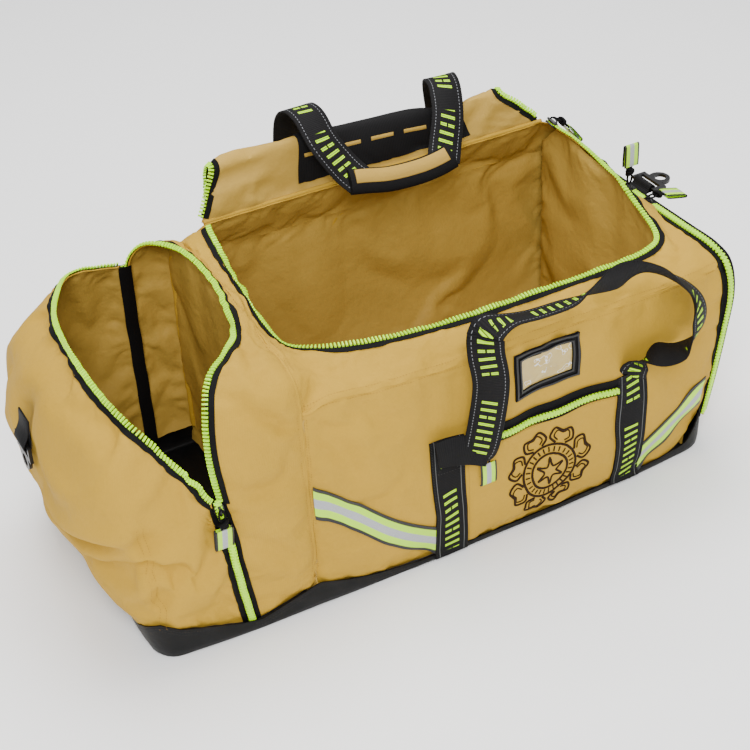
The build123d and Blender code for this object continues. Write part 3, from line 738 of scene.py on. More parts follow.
def end_flap_net():
    """The stuffed outer wall of the end pocket, inside its zip."""
    columns = [(-166, 0.0), (-150, 0.35), (-95, 0.9), (0, 1.0), (95, 0.9), (150, 0.35), (166, 0.0)]
    net = []
    for y, out in columns:
        corner = 28 * max(0.0, abs(y) / 166 - 0.6) ** 2 / 0.16
        rows = []
        for z, swell in ((38, 0.0), (105, 0.75), (180, 1.0), (245, 0.85), (281, 0.05)):
            edge = 5 + (14 if y < 0 else 2) * math.sin(math.pi * (z - 38) / 243) * (1 - out)
            rows.append((FLAP_X + edge * (1 - out) * 0.8 + 25 * swell * out, y, z - corner * (z > 250)))
        net.append(rows)
    return net


def lid_net():
    """The open lid, seen from inside: it rises from its hinge, folds over and hangs behind.
    Its two ends are drawn in where it folds. Each column: its place on the hinge, its place and
    height on the fold, and how far it waves."""
    columns = [(-152, -125, 405, 3), (-112, -90, 411, 0), (-30, -20, 409, 4), (60, 62, 405, 0),
               (140, 138, 399, 4), (215, 203, 389, 0), (275, 243, 394, 2), (330, 273, 396, 5)]
    net = []
    for x, x_fold, top, wave in columns:
        x_mid = x + 0.6 * (x_fold - x)
        rise = [(x, HINGE_Y + 0.6, HINGE_Z - 0.5),
                (x_mid, 145 + wave / 3, HINGE_Z + 0.55 * (top - HINGE_Z)), (x_fold, 151, top - 6)]
        hang = [(167, top - 7), (176 + wave / 2, 345), (187 - wave / 3, 275), (195, 206)]
        net.append([*rise, (x_fold, FOLD_Y + 2, top), *[(x_fold, y, z) for y, z in hang]])
    return net


def wall_net(x, top, foot=7, swell=2.5):
    """An inner wall across the bag: columns along Y, each as high as the seam it hangs from."""
    return [[(x + swell * math.sin(2.4 * k + 1.7 * s), y, foot + s * (z - foot)) for s in (0, 0.33, 0.66, 1)]
            for k, (y, z) in enumerate(top)]


panels = {
    "helmet_left": relax(
        HELMET_LEFT,
        creases=[
            ([(-416, 30, 150), (-416, -50, 160), (-402, -130, 176), (-388, -165, 184),
              (-370, -184, 186)], 25, 14),
            ([(-410, -150, 150), (-385, -180, 150), (-350, -182, 128), (-318, -184, 110)], 7, 11),
            ([(-379, -184, 204), (-376, -182, 130), (-371, -176, 48)], 5, 7),
            ([(-436, -20, 245), (-420, -120, 232), (-392, -172, 236)], -5, 24),
            ([(-342, -190, 150), (-362, -186, 100), (-386, -172, 70)], 7, 15),
            ([(-300, -178, 150), (-322, -188, 120), (-345, -182, 62)], 4, 12),
            ([(-352, -166, 292), (-386, -168, 252), (-408, -168, 225)], 5, 13),
            ([(-366, -140, 310), (-402, -128, 272), (-432, -70, 240)], 4, 14),
            ([(-400, -40, 318), (-432, 10, 262), (-438, 40, 200)], 6, 17),
            ([(-405, 60, 300), (-420, 120, 240), (-408, 160, 180)], 7, 18),
            ([(-395, 90, 40), (-420, 60, 100), (-430, 0, 128)], 6, 16),
            ([(-388, 168, 60), (-370, 180, 120), (-330, 184, 170)], 7, 16),
            ([(-360, 150, 296), (-340, 178, 240), (-300, 184, 170)], 5, 15),
        ],
        swells=(2.6, 120, 3), growth=0.02, cap=9.0),
    "helmet_right": relax(
        HELMET_RIGHT,
        creases=[
            ([(-196, -20, 333), (-214, -110, 336), (-222, -160, 322), (-200, -180, 286)], 4, 9),
            ([(-268, -160, 322), (-232, -180, 292), (-196, -184, 262)], 5, 10),
            ([(-286, -178, 222), (-246, -187, 204), (-200, -184, 200)], 4, 12),
            ([(-276, -180, 150), (-240, -187, 120), (-200, -183, 64)], 4, 12),
            ([(-187, -178, 262), (-210, -183, 270), (-228, -180, 300)], 4, 7),
            ([(-187, -178, 250), (-205, -184, 238), (-214, -184, 206)], 3, 7),
            ([(-236, 180, 240), (-214, 184, 180), (-192, 181, 110)], 4, 10),
        ],
        swells=(1.4, 80, 5), growth=0.015),
    "front": relax(
        side_panel(front=True),
        creases=[
            ([(-176, -180, 250), (-140, -182, 205), (-128, -182, 150)], 4, 13),
            ([(-120, -180, 262), (-90, -182, 232), (-30, -182, 214)], 3, 12),
            ([(150, -182, 250), (230, -184, 236), (330, -180, 248)], 2.5, 14),
            ([(288, -182, 160), (320, -182, 120), (372, -176, 96)], 4, 14),
            ([(300, -182, 225), (340, -180, 190), (380, -174, 180)], 3, 12),
            ([(-180, -182, 208), (-120, -183, 204), (-50, -184, 210)], 2.5, 7),
            ([(-178, -184, 92), (-120, -188, 78), (-70, -190, 84)], 1.5, 8),
            ([(-182, -182, 268), (-160, -181, 246), (-120, -182, 236)], 3, 6),
            ([(24, -184, 240), (60, -184, 226), (110, -184, 228)], 2, 8),
            ([(-60, -188, 150), (-100, -186, 130), (-170, -184, 128)], 2, 8),
        ],
        swells=(2.0, 130, 7)),
    "back": relax(
        side_panel(front=False),
        creases=[
            ([(-170, 180, 250), (-120, 182, 200), (-90, 182, 120)], 5, 15),
            ([(60, 184, 250), (110, 184, 190), (190, 184, 150)], 4, 16),
            ([(300, 182, 250), (330, 182, 180), (370, 176, 120)], 5, 15),
        ],
        swells=(2.4, 130, 11), growth=0.018),
    "top": relax(
        TOP_RING,
        creases=[
            ([(-178, 60, 328), (-168, -30, 316), (-176, -120, 318)], 3, 7),
            ([(-182, -140, 318), (-150, -140, 304), (-110, -160, 284)], 4, 8),
            ([(322, -168, 276), (350, -130, 290), (366, -60, 292)], 4, 8),
            ([(350, 40, 322), (370, 100, 304), (370, 150, 292)], 3, 8),
        ],
        swells=(1.2, 60, 13), growth=0.01, cap=4.0),
    "end_flap": relax(
        end_flap_net(),
        creases=[
            ([(392, -150, 70), (408, -90, 120), (410, -20, 140)], 5, 15),
            ([(388, -140, 268), (404, -90, 236), (410, -10, 226)], 4, 13),
            ([(392, 150, 90), (408, 90, 150), (410, 30, 160)], 5, 15),
            ([(388, 130, 270), (404, 80, 230), (410, 20, 200)], 4, 14),
        ],
        swells=(1.8, 90, 17), growth=0.015),
    "lid": relax(
        lid_net(),
        creases=[
            ([(-150, 142, 352), (-120, 148, 385), (-60, 152, 400)], 3, 11),
            ([(215, 145, 350), (240, 150, 380), (262, 154, 392)], 4, 10),
            ([(40, 166, 392), (60, 172, 330), (30, 186, 230)], 6, 18),
            ([(-90, 166, 396), (-100, 172, 330), (-70, 186, 240)], 5, 18),
            ([(190, 166, 384), (170, 172, 320), (200, 186, 240)], 6, 18),
        ],
        swells=(2.2, 120, 19), growth=0.02, pull=0.5, cap=6.0),
}
DIVIDER_TOP = [(-172, 262), (-171, 292), (-160, 311), (-138, 318), (-102, 321), (-20, 325), (50, 327),
               (108, 326), (144, 319), (165, 310), (176, 292), (176, 262)]
END_WALL_X = 345
END_WALL_TOP = [(-166, 268), (-118, 286), (-60, 300), (0, 318), (60, 328), (120, 332), (160, 300)]
walls = {
    "divider": relax(wall_net(DIVIDER_X + 1, DIVIDER_TOP, swell=1.0), swells=(0.8, 100, 23), cap=2.0),
    "end_wall": relax(wall_net(END_WALL_X, END_WALL_TOP)[::-1], swells=(2.0, 100, 29)),
}


def hold_back(grid, x=-437, z=215, half_width=34, half_height=58, slope=14):
    """The anchor ring and its tab hold back the cloth of the helmet end behind them."""
    from_ring = np.hypot(grid[..., 1] / half_width, (grid[..., 2] - z) / half_height)
    grid[..., 0] = np.maximum(grid[..., 0], x - slope * np.clip(from_ring - 1, 0, None))


hold_back(panels["helmet_left"])


def skin_tree(grids):
    """A search tree over the outer face of some panels."""
    points, faces, total = [], [], 0
    for grid in grids:
        points.append(grid.reshape(-1, 3))
        faces.append(grid_faces(*grid.shape[:2]) + total)
        total += points[-1].shape[0]
    return BVHTree.FromPolygons(np.concatenate(points).tolist(), np.concatenate(faces).tolist())


def pan_outline(count):
    """The base's rounded outline, counterclockwise from the middle of the front."""
    x, y = HALF_L - PAN_CORNER, HALF_W - PAN_CORNER
    middle = [(0, -HALF_W)]
    quarters = [middle]
    for corner, start in (((x, -y), -90), ((x, y), 0), ((-x, y), 90), ((-x, -y), 180)):
        quarters.append(corner + polar(PAN_CORNER, np.radians(np.linspace(start, start + 90, 7))))
    points = np.concatenate([*quarters, middle])
    length = running_length(points)
    even_length = np.linspace(0, length[-1], count)
    return np.stack([np.interp(even_length, length, points[:, k]) for k in (0, 1)], axis=1)


def pan_grid():
    """The base's upright wall, a ring of points from the floor up to its sewn edge."""
    outline = pan_outline(340)
    top = base_edge(*outline.T)
    flare = 7 * np.clip((-outline[:, 0] - 360) / 18, 0, 1)
    inset = np.array((HALF_L, HALF_W)) - PAN_CORNER
    out = unit(outline - np.clip(outline, -inset, inset))
    levels = []
    for share, proud in ((0, -6.0), (0.0, -2.0), (0.08, 0.6), (0.3, 1.8), (0.6, 2.2), (0.85, 2.2), (1, 1.8)):
        wobble = 0.9 * np.sin(outline[:, 0] / 23 + outline[:, 1] / 17) * math.sin(math.pi * share)
        flat = outline + out * (proud + wobble + flare * share)[:, None]
        levels.append(np.column_stack([flat, 0.6 + share * (top - 0.6)]))
    return bowed(np.stack(levels, axis=1))


pan = pan_grid()
skin = skin_tree([grid for name, grid in panels.items() if name != "lid"] + [pan])


def hug(points, lift, tree=skin):
    """The nearest places on the bag's skin, or another surface, lifted off it."""
    flat = points.reshape(-1, 3)
    result = np.empty_like(flat)
    for i, point in enumerate(flat):
        place, normal, _, _ = tree.find_nearest(Vector(point))
        result[i] = np.array(place) + np.array(normal) * lift
    return result.reshape(points.shape)


def skin_normals(path):
    """Smoothed outward directions of the skin along a path."""
    found = [np.array(skin.find_nearest(Vector(point))[1]) for point in path]
    return unit(smooth(np.array(found), 12))


# --- zips and stitches ---------------------------------------------------------------------
TOOTH = np.array([(x, y, z) for z, inset in ((0, 0.0), (1.5, 0.0), (2.5, 0.45))
                  for x, y in ((inset - 0.8, inset - 1.35), (TOOTH_REACH - inset, inset - 1.15),
                               (TOOTH_REACH - inset, 1.15 - inset), (inset - 0.8, 1.35 - inset))])
TOOTH_FACES = [(a + i, a + (i + 1) % 4, a + 4 + (i + 1) % 4, a + 4 + i) for a in (0, 4) for i in range(4)]
TOOTH_FACES.append((8, 9, 10, 11))


def sample(values, length, places):
    """Values along a path, read at distances along it."""
    return np.stack([np.interp(places, length, values[:, k]) for k in range(3)], axis=1)


def zip_side(shape, path, off, side, shift=0.0, lift=0.9, hugging=True, reach=0.0, tape=TAPE_WIDTH):
    """One half of a zip along a path: its tape on the cloth and its row of teeth at the edge.
    side says which way the tape lies, +1 to the left of the path as seen from outside."""
    off = np.broadcast_to(off, path.shape)
    along = tangents(path)
    away = unit(np.cross(off, along)) * side
    rows = [path + away * (reach + d) for d in (1.2, 0.4 * tape, 0.7 * tape, tape)]
    if hugging:
        rows = [smooth(hug(row, lift), 2) for row in rows]
        rows[0] = (rows[0] + path + away * (reach + 1.2) + off * lift) / 2
    grid = np.stack(rows if side > 0 else rows[::-1], axis=1)
    shape.sheet(grid + off[:, None] * TAPE / 2, TAPE)
    length = running_length(path)
    count = int(length[-1] / TOOTH_PITCH)
    places = (np.arange(count) + 0.5 + shift) * TOOTH_PITCH
    axes = np.stack([unit(sample(v, length, places)) for v in (-away, along * side, off)], axis=1)
    foot = sample(path + away * (reach + TOOTH_REACH / 2 + 0.6) + off * (lift + 0.2), length, places)
    return shape.repeat(TOOTH, TOOTH_FACES, foot, axes, slot=1)


def closed_zip(shape, path, off, **options):
    """Both halves of a zip, their teeth meshed along the path."""
    zip_side(shape, path, off, 1, **options)
    return zip_side(shape, path, off, -1, shift=0.5, **options)


STITCH = [(-1, 0, 0.1), (0, -0.36, 0), (1, 0, 0.1), (0, 0.36, 0), (0, 0, 0.42)]
STITCH_FACES = [(0, 1, 4), (1, 2, 4), (2, 3, 4), (3, 0, 4)]
STITCH_PITCH = 3.6
STITCH_SIZE = 1.15        # half the length of a stitch


def stitches(shape, path, off):
    """A row of single stitches along a path."""
    length = running_length(path)
    places = np.arange(STITCH_PITCH / 2, length[-1], STITCH_PITCH)
    along = unit(sample(tangents(path), length, places))
    off = unit(sample(np.broadcast_to(off, path.shape), length, places))
    axes = np.stack([along, np.cross(off, along), off], axis=1) * STITCH_SIZE
    return shape.repeat(STITCH, fan_quads(STITCH_FACES), sample(path, length, places), axes)


def seam_rows(shape, path, offsets):
    """Topstitching beside a seam, one row for each distance from it."""
    off = skin_normals(path)
    away = np.cross(off, tangents(path))
    for distance in offsets:
        row = smooth(hug(path + away * distance, 0.15), 2)
        stitches(shape, row, skin_normals(row))


# --- strips laid on the cloth --------------------------------------------------------------
def laid_strip(shape, path, width, thickness, lift=0.5, slot=0, ways=None):
    """A flat strip that follows the cloth below it, its UV across from 0 to 1 and along in metres."""
    path = hug(even(path, spacing=STRIP_STEP), 0)
    off = skin_normals(path)
    across = ways if ways is not None else np.cross(off, tangents(path))
    across = unit(np.broadcast_to(across, path.shape))
    share = np.linspace(-0.5, 0.5, 7)
    grid = hug(path[:, None] + across[:, None] * (share * width)[None, :, None], 0)
    grid = smooth(smooth(grid, 3).swapaxes(0, 1), 1).swapaxes(0, 1)
    grid = grid + off[:, None] * (lift + thickness)
    uv = np.stack(np.meshgrid(running_length(path) * MM, share + 0.5, indexing="ij"), axis=-1)[..., ::-1]
    faces_out = np.sum(normals(grid) * off[:, None]) > 0
    shape.sheet(grid if faces_out else grid[:, ::-1], thickness, slot, slot, uv)
    return grid


# --- the bag's cloth pieces ----------------------------------------------------------------
LID_BLEND = ("lid_front", (0, FOLD_Y - 1.5, FOLD_Z), (0, FOLD_Y + 7, FOLD_Z))


def cloth_piece(name, grid, body, replaces):
    """A panel of canvas, tan outside and coated inside."""
    shape = Shape().sheet(grid, CLOTH, outer=0, inner=1)
    return finish_piece(shape, name, [CANVAS, CANVAS_INSIDE], body, replaces)


def make_cloth():
    """The sewn panels of the bag, its end flap and its lid, and the walls inside it."""
    cloth_piece("helmet_end_cloth", panels["helmet_left"], "bag",
                ["helmet_end_panel", "helmet_front_left_panel", "helmet_top_rear_panel", "helmet_back_panel"])
    cloth_piece("helmet_strip_cloth", panels["helmet_right"], "bag",
                ["helmet_front_right_panel", "helmet_top_front_panel"])
    cloth_piece("front_cloth", panels["front"], "bag", ["main_front_panel"])
    cloth_piece("back_cloth", panels["back"], "bag", ["main_back_panel"])
    cloth_piece("top_cloth", panels["top"], "bag",
                ["top_front_gusset", "top_back_gusset", "top_left_gusset", "top_right_gusset"])
    cloth_piece("end_flap_cloth", panels["end_flap"], "end_flap", ["end_flap_panel"])
    shape = Shape().sheet(panels["lid"], CLOTH, outer=1, inner=0)
    finish_piece(shape, "lid_cloth", [CANVAS, CANVAS_INSIDE], "lid_rear",
                 ["lid_rear_panel", "lid_front_panel"], LID_BLEND)
    for name, node in (("divider", "divider_wall"), ("end_wall", "inner_end_wall")):
        shape = Shape().sheet(walls[name], WALL_THICK)
        finish_piece(shape, f"{name}_cloth", [CANVAS_INSIDE], "bag", [node])


def make_piping():
    """The cords that bind the seams inside: round the divider, and where the lid hinges."""
    seam = panels["helmet_right"][:, -1]
    inward = unit((DIVIDER_X, 0, 170) - seam)
    shape = Shape().sweep(even(seam + inward * 3.0, spacing=8.0), RIGHT, disc(3.6, 8))
    hinge = even([(x, HINGE_Y + 1.5, HINGE_Z - 0.5) for x in (-150, 90, 331)], spacing=12.0)
    shape.sweep(hinge, UP, disc(3.0, 8))
    finish_piece(shape, "seam_piping", [CANVAS], "bag")


def make_base():
    """The black base: its upright wall, its underside, and the covered board on its floor."""
    shape = Shape().sheet(pan, PAN_THICK)
    rim = pan[::4, 0]
    rings = [rim * (s, s, 1) for s in (1, 0.96, 0.85, 0.6, 0.3, 0.02)]
    shape.sheet(np.stack(rings, axis=1)[:, ::-1], 1.5)
    finish_piece(shape, "base_wrap", [PVC], "bag", ["base_pan"])
    low, high = node_box("base_board")
    x, y = np.linspace(low[0] + 3, high[0] - 3, 5), np.linspace(low[1] + 3, high[1] - 3, 4)
    board = np.array([[(a, b, high[2] + 0.8 * math.sin(a / 60) * math.cos(b / 50)) for b in y] for a in x])
    grid = surface(board, spacing=14.0)
    shape = Shape().sheet(grid, BOARD_THICK)
    border = np.concatenate([grid[:, 0], grid[-1, 1:], grid[-2::-1, -1], grid[0, -2:0:-1], grid[:1, 0]])
    shape.sweep(even(border, spacing=9.0) - (0, 0, 2), UP, disc(3.2, 8), slot=1)
    finish_piece(shape, "base_board_cover", [CANVAS_INSIDE, WRAP_CLOTH], "bag", ["base_board"])


def panel_edge(name, high=True):
    """A panel's border along its first axis, the high or the low one."""
    return panels[name][:, -1 if high else 0]


def make_seams():
    """Rows of topstitching beside the sewn seams, and round the top of the black base."""
    shape = Shape()
    seam_rows(shape, even(panel_edge("helmet_right")[8:-8], spacing=STRIP_STEP), (-5, 5, 8))
    for name in ("front", "back"):
        seam_rows(shape, even(panel_edge(name), spacing=STRIP_STEP), (-5, 5))
    front_corner = [(-381, -182, 204), (-377, -182, 150), (-373, -178, 95), (-371, -175, 46)]
    rear_corner = [(-398, 166, 250), (-402, 172, 190), (-392, 170, 110), (-376, 166, 46)]
    for corner in (front_corner, rear_corner):
        seam_rows(shape, hug(even(corner, spacing=STRIP_STEP), 0), (-4, 4))
    finish_piece(shape, "seam_stitches", [TAN_THREAD], "bag")
    shape = Shape()
    out = normals(pan)[:, -2]
    for drop in (4.0, 8.0):
        stitches(shape, pan[:, -1] - drop * UP + out * 0.4, out)
    finish_piece(shape, "base_stitches", [GREY_THREAD], "bag")


# --- the bag's zips ------------------------------------------------------------------------
def nearest(path, place):
    """The index of the point of a path that is nearest to a place."""
    return int(np.argmin(np.linalg.norm(path - place, axis=1)))


HELMET_SPLITS = {"front": (-291, -178, 205), "back": (-246, 175, 297)}   # where a slider parts the zip


def make_helmet_zip():
    """The helmet compartment's zip: its two open halves, and its closed ends below the sliders."""
    left = even(panel_edge("helmet_left"), spacing=ZIP_STEP)
    right = even(panel_edge("helmet_right", high=False), spacing=ZIP_STEP)
    start, end = (nearest(right, HELMET_SPLITS[name]) for name in ("back", "front"))
    # Beside the front slider the left edge faces the front and stands out, to meet the right one.
    near = np.clip(9 * np.linspace(0, 1, len(left)) - 8, 0, 1)[:, None]
    off = unit(skin_normals(left) * (1 - near) - REAR * near)
    left = left + off * near * 2.4
    right = right[start - 3:end + 4]
    opened = Shape()
    zip_side(opened, left, off, -1, reach=-1.5)
    zip_side(opened, right, skin_normals(right), 1, reach=-1.5)
    finish_piece(opened, "helmet_zip_open_halves", [ZIP_TAPE, TEETH], "bag", ["helmet_zip_open"])
    for name, end, step in (("front", -1, -1), ("back", 0, 1)):
        right = panels["helmet_right"][::step, 0]
        right = right[:nearest(right, HELMET_SPLITS[name]) + 1]
        path = (even(panels["helmet_left"][end], count=60) + even(right, count=60)) / 2
        off = unit(np.array([-0.05, step, 0.05]))
        path = smooth(even(path, spacing=ZIP_STEP), 3) + off * 2.0
        shape = closed_zip(Shape(), path, off, lift=0.8)
        shape.sweep(path - off * 6, np.cross(off, tangents(path)), strip(17, 0.8))
        finish_piece(shape, f"helmet_zip_{name}_chain", [ZIP_TAPE, TEETH], "bag",
                     [f"helmet_zip_closed_{name}"])


def make_rim_zip():
    """The zip half round the opening, on its front and its two ends."""
    rim = panel_edge("top")
    last = nearest(rim, (333, 140, 342))
    path = even(rim[2:last], spacing=ZIP_STEP)
    shape = zip_side(Shape(), path, unit(skin_normals(path) + 0.4 * UP), -1, reach=-3.0)
    finish_piece(shape, "rim_zip_half", [ZIP_TAPE, TEETH], "bag", ["rim_zip"])


def free_edge(grid):
    """A grid's border along one end, its far side and the other end."""
    return np.concatenate([grid[0], grid[1:, -1], grid[-1, -2::-1]])


def make_lid_zip():
    """The zip half round the lid's free edge."""
    edge, facing = free_edge(panels["lid"]), free_edge(normals(panels["lid"]))
    length = running_length(edge)
    places = np.linspace(6, length[-1] - 6, int(length[-1] / 3))
    path = sample(edge, length, places)
    off = unit(smooth(sample(facing, length, places), 4))
    shape = zip_side(Shape(), path, off, -1, hugging=False, reach=-4.0, lift=0.3)
    finish_piece(shape, "lid_zip_half", [ZIP_TAPE, TEETH], "lid_rear",
                 ["lid_rear_zip", "lid_front_zip"], LID_BLEND)


def end_zip_off(path):
    """The end zip faces out of the corner it runs along."""
    y, z = path[:, 1] / 168, np.clip((path[:, 2] - 244) / 40, 0, 1)
    side = np.sign(y) * np.abs(y) ** 6
    return unit(np.stack([0.35 * (1 - z), side * (1 - 0.6 * z), z * (1 - np.abs(side)) + 0.25 * z], axis=1))


END_FACE_ZIP_Z = 230


def make_end_zip():
    """The end pocket's zip, half on the bag and half on the flap, and the zip across its face."""
    path = end_zip_line()
    off = end_zip_off(path)
    bag_side = zip_side(Shape(), path, off, 1)
    flap_side = zip_side(Shape(), path, off, -1, shift=0.5, hugging=False)
    away = np.cross(off, tangents(path))
    bag_side.sweep(path - off * 3 + away, away, strip(13, 0.8))
    finish_piece(bag_side, "end_zip_bag_half", [ZIP_TAPE, TEETH], "bag", ["end_bag_zip"])
    finish_piece(flap_side, "end_zip_flap_half", [ZIP_TAPE, TEETH], "end_flap", ["end_flap_zip"])
    low, high = node_box("end_face_zip")
    path = even([(high[0], y, END_FACE_ZIP_Z) for y in (low[1] + 4, 0, high[1] - 4)], spacing=ZIP_STEP)
    shape = closed_zip(Shape(), hug(path, 0.6), RIGHT, lift=0.2)
    finish_piece(shape, "end_face_chain", [ZIP_TAPE, TEETH], "end_flap", ["end_face_zip"])


# --- straps, trims, pocket, window and badge ----------------------------------------------
def front_line(points, y=-FRONT_AT):
    """Points given in X and Z, set in front of the bag."""
    return np.array([(x, y, z) for x, z in points])


def strap_stitches(shape, laid):
    """A row of stitches along each edge of a strap, and a crossed box near its upper end."""
    off = skin_normals(laid[:, 3])
    for column in (0, -1):
        row = laid[:, column] + (laid[:, 3] - laid[:, column]) * 0.07 + off * 0.15
        stitches(shape, row, off)
    left, right = laid[:, 1] + off * 0.2, laid[:, -2] + off * 0.2
    low, high = len(laid) - 10, len(laid) - 3
    for a, b in ((low, high), (high, low), (low, low), (high, high)):
        stitches(shape, even([left[a], right[b]], spacing=2.0), off[a])


def make_straps():
    """The upright straps that carry the handles, two in front and two at the back."""
    for side, way in (("front", 1), ("back", -1)):
        shape = Shape()
        thread_shape = Shape()
        for x in STRAP_X:
            path = front_line([(x, z) for z in (5, 60, 120, STRAP_TOP)], -FRONT_AT * way)
            laid = laid_strip(shape, path, WEBBING, WEB_THICK, ways=RIGHT * way)
            strap_stitches(thread_shape, laid)
        finish_piece(shape, f"{side}_strap_webbing", [WEB_STRAP], "bag", [f"{side}_straps"])
        finish_piece(thread_shape, f"{side}_strap_stitches", [GREY_THREAD], "bag")


def make_trims():
    """The reflective trims that run from the straps to the ends of the bag."""
    left = [(DIVIDER_X + 4, 152), (-131, 112), (-90, 76), (-51, 47), (STRAP_X[0] - 8, 26)]
    right = [(STRAP_X[1] + 8, 24), (270, 36), (300, 54), (335, 78), (365, 96)]
    for side, way in (("front", 1), ("back", -1)):
        shape = Shape()
        for points in (left, right):
            laid_strip(shape, front_line(points, -FRONT_AT * way), TRIM_WIDTH, 1.0, lift=0.9, ways=UP * way)
        finish_piece(shape, f"{side}_trim_tape", [TRIM], "bag", [f"{side}_trims"])


def make_pocket():
    """The flat front pocket: a cloth panel, its black top band and its zip."""
    low, high = node_box("front_pocket_panel")
    x = np.linspace(low[0] + 2, high[0] - 2, 26)
    z = np.linspace(low[2] + 5, high[2] + 2, 16)
    grid = smooth(hug(np.array([[(a, -FRONT_AT - 6, b) for b in z] for a in x]), CLOTH), 3)
    u, v = shares(grid)
    grid[..., 1] -= 1.6 * (np.sin(math.pi * u) * np.sin(math.pi * v)) ** 0.6
    cloth = tuck(finer(grid), 1.0, 0.4)
    shape = Shape().sheet(cloth, 1.2)
    thread_shape = Shape()
    for inset in (3, 6):
        row = grid[:, -1] - inset * UP + np.array((0, -0.9, 0))
        stitches(thread_shape, row, -REAR)
    finish_piece(shape, "pocket_cloth", [CANVAS], "bag", ["front_pocket_panel"])
    finish_piece(thread_shape, "pocket_stitches", [TAN_THREAD], "bag")
    low, high = node_box("front_pocket_zip")
    middle = (low[2] + high[2]) / 2
    first, last = low[0], STRAP_X[1] - WEBBING / 2 + 3
    shape = Shape()
    band = front_line([(first, middle), (124, middle - 1), (last, middle)])
    laid_strip(shape, band, 24.0, 1.0, lift=1.4)
    path = front_line([(first + 5, middle - 3), (124, middle - 4), (last - 1, middle - 3)])
    path = smooth(hug(even(path, spacing=ZIP_STEP), 2.6), 8)
    closed_zip(shape, path, -REAR, hugging=False, tape=6.0)
    finish_piece(shape, "pocket_chain", [ZIP_TAPE, TEETH], "bag", ["front_pocket_zip"])
    return skin_tree([cloth])


def make_window():
    """The clear card window in its ridged black frame."""
    low, high = node_box("id_window_frame")
    middle, half = (low + high)[::2] / 2, (high - low)[::2] / 2
    corners = np.array([(-1, -1), (1, -1), (1, 1), (-1, 1)])
    shape = Shape()
    # The flat frame, then its outer and its inner ridge.
    for inset, width, thickness, slot in ((5.0, 11.0, 1.6, 0), (1.8, 2.6, 3.0, 1), (8.6, 2.4, 2.8, 1)):
        square = middle + corners * (half - inset)
        for a, b in zip(square, np.roll(square, -1, axis=0)):
            reach = unit(b - a) * width / 2
            laid_strip(shape, front_line([a - reach, (a + b) / 2, b + reach]), width, thickness, 0.4, slot)
    finish_piece(shape, "window_frame", [WRAP_CLOTH, HARDWARE], "bag", ["id_window_frame"])
    low, high = node_box("id_window_pane")
    x, z = np.linspace(low[0] - 1, high[0] + 1, 20), np.linspace(low[2] - 1, high[2] + 1, 12)
    grid = hug(np.array([[(a, -FRONT_AT, b) for b in z] for a in x]), 1.0)
    u, v = shares(grid)
    grid[..., 1] -= 1.3 * np.sin(math.pi * u) * np.sin(math.pi * v) + 0.3 * np.sin(9 * u + 4 * v)
    shape = Shape().sheet(finer(grid), 0.5)
    finish_piece(shape, "window_pane", [VINYL], "bag", ["id_window_pane"])


def make_badge(pocket):
    """A generic embroidered rosette: rings, a rim of petals and a plain star in the middle."""
    low, high = node_box("front_badge")
    centre, radius = (low + high) / 2, (high[0] - low[0]) / 2 - 1
    shape = Shape()

    def satin(reach, turn, width):
        """A raised line of stitches through points given by their distance and angle."""
        points = polar(radius * reach, turn) + (centre[0], centre[2])
        path = hug(even(front_line(points), spacing=1.6), 0.4, pocket)
        shape.sweep(path, np.cross(-REAR, tangents(path)), disc(width / 2, 6, 0.6))

    for ring in (0.62, 0.42):
        satin(ring, np.linspace(0, 2 * math.pi, 33), 3.4)
    for tick in np.arange(28) * math.pi / 14:
        satin(np.array([0.47, 0.52, 0.57]), tick, 2.2)
    petal = np.array([(0.66, -0.17), (0.8, -0.34), (0.98, -0.2), (0.92, 0), (0.98, 0.2), (0.8, 0.34),
                      (0.66, 0.17)])
    petal_middle = np.array([0.81, 0])
    for k in range(8):
        for size, width in ((1.0, 3.2), (0.66, 2.0)):
            reach, turn = (petal_middle + (petal - petal_middle) * size).T
            satin(reach, turn + (2 * k + 1) * math.pi / 8, width)
    corner = np.arange(13)
    satin(np.where(corner % 2, 0.34, 0.14), corner * math.pi / 6, 2.8)
    finish_piece(shape, "embroidered_rosette", [BROWN_THREAD], "bag", ["front_badge"])


# --- handles -------------------------------------------------------------------------------
def ribbon(shape, stations, width, slot=0):
    """Webbing through stations, its patterned face in the slot and the rest of it plain."""
    places = even([place for place, _ in stations], spacing=STRIP_STEP)
    nodes = running_length(np.array([place for place, _ in stations], float))
    t = np.interp(np.linspace(0, 1, len(places)), nodes / nodes[-1], np.arange(len(stations)))
    facing = smooth(unit(spline([unit(np.array(way, float)) for _, way in stations], t)), 3)
    shape.sweep(places, np.cross(tangents(places), facing), strip(width, WEB_THICK), slot, under=1)


# Stations of the front handle's webbing: a place, and the way its patterned face looks there.
FRONT_HANDLE = [
    ((18, -197, 138), (-0.1, -1, 0)), ((24, -205, 165), (-0.4, -0.9, 0.1)),
    ((32, -212, 246), (-0.42, -0.9, 0.1)), ((26, -211, 296), (-0.4, -0.9, 0.2)),
    ((30, -208, 320), (-0.4, -0.5, 0.75)), ((52, -208, 325), (-0.1, 0.2, 0.97)),
    ((90, -211, 322), (0, 0.33, 0.95)), ((133, -214, 324), (0, 0.4, 0.92)),
    ((165, -215, 332), (0.05, 0.8, 0.6)), ((200, -215, 337), (0.1, 0.95, 0.2)),
    ((238, -215, 331), (0.3, 0.6, 0.75)), ((270, -215, 310), (0.5, 0.1, 0.85)),
    ((300, -215, 282), (0.65, -0.3, 0.6)), ((317, -215, 247), (0.54, -0.84, 0)),
    ((318, -214, 217), (0.5, -0.8, -0.35)), ((302, -209, 196), (0.1, -0.2, -1)),
    ((276, -203, 195), (-0.15, 0.25, -0.95)), ((258, -195, 190), (-0.3, -0.3, -0.9)),
    ((247, -190, 176), (-0.2, -0.95, -0.2)), ((245, -188, 150), (0, -1, 0)),
]
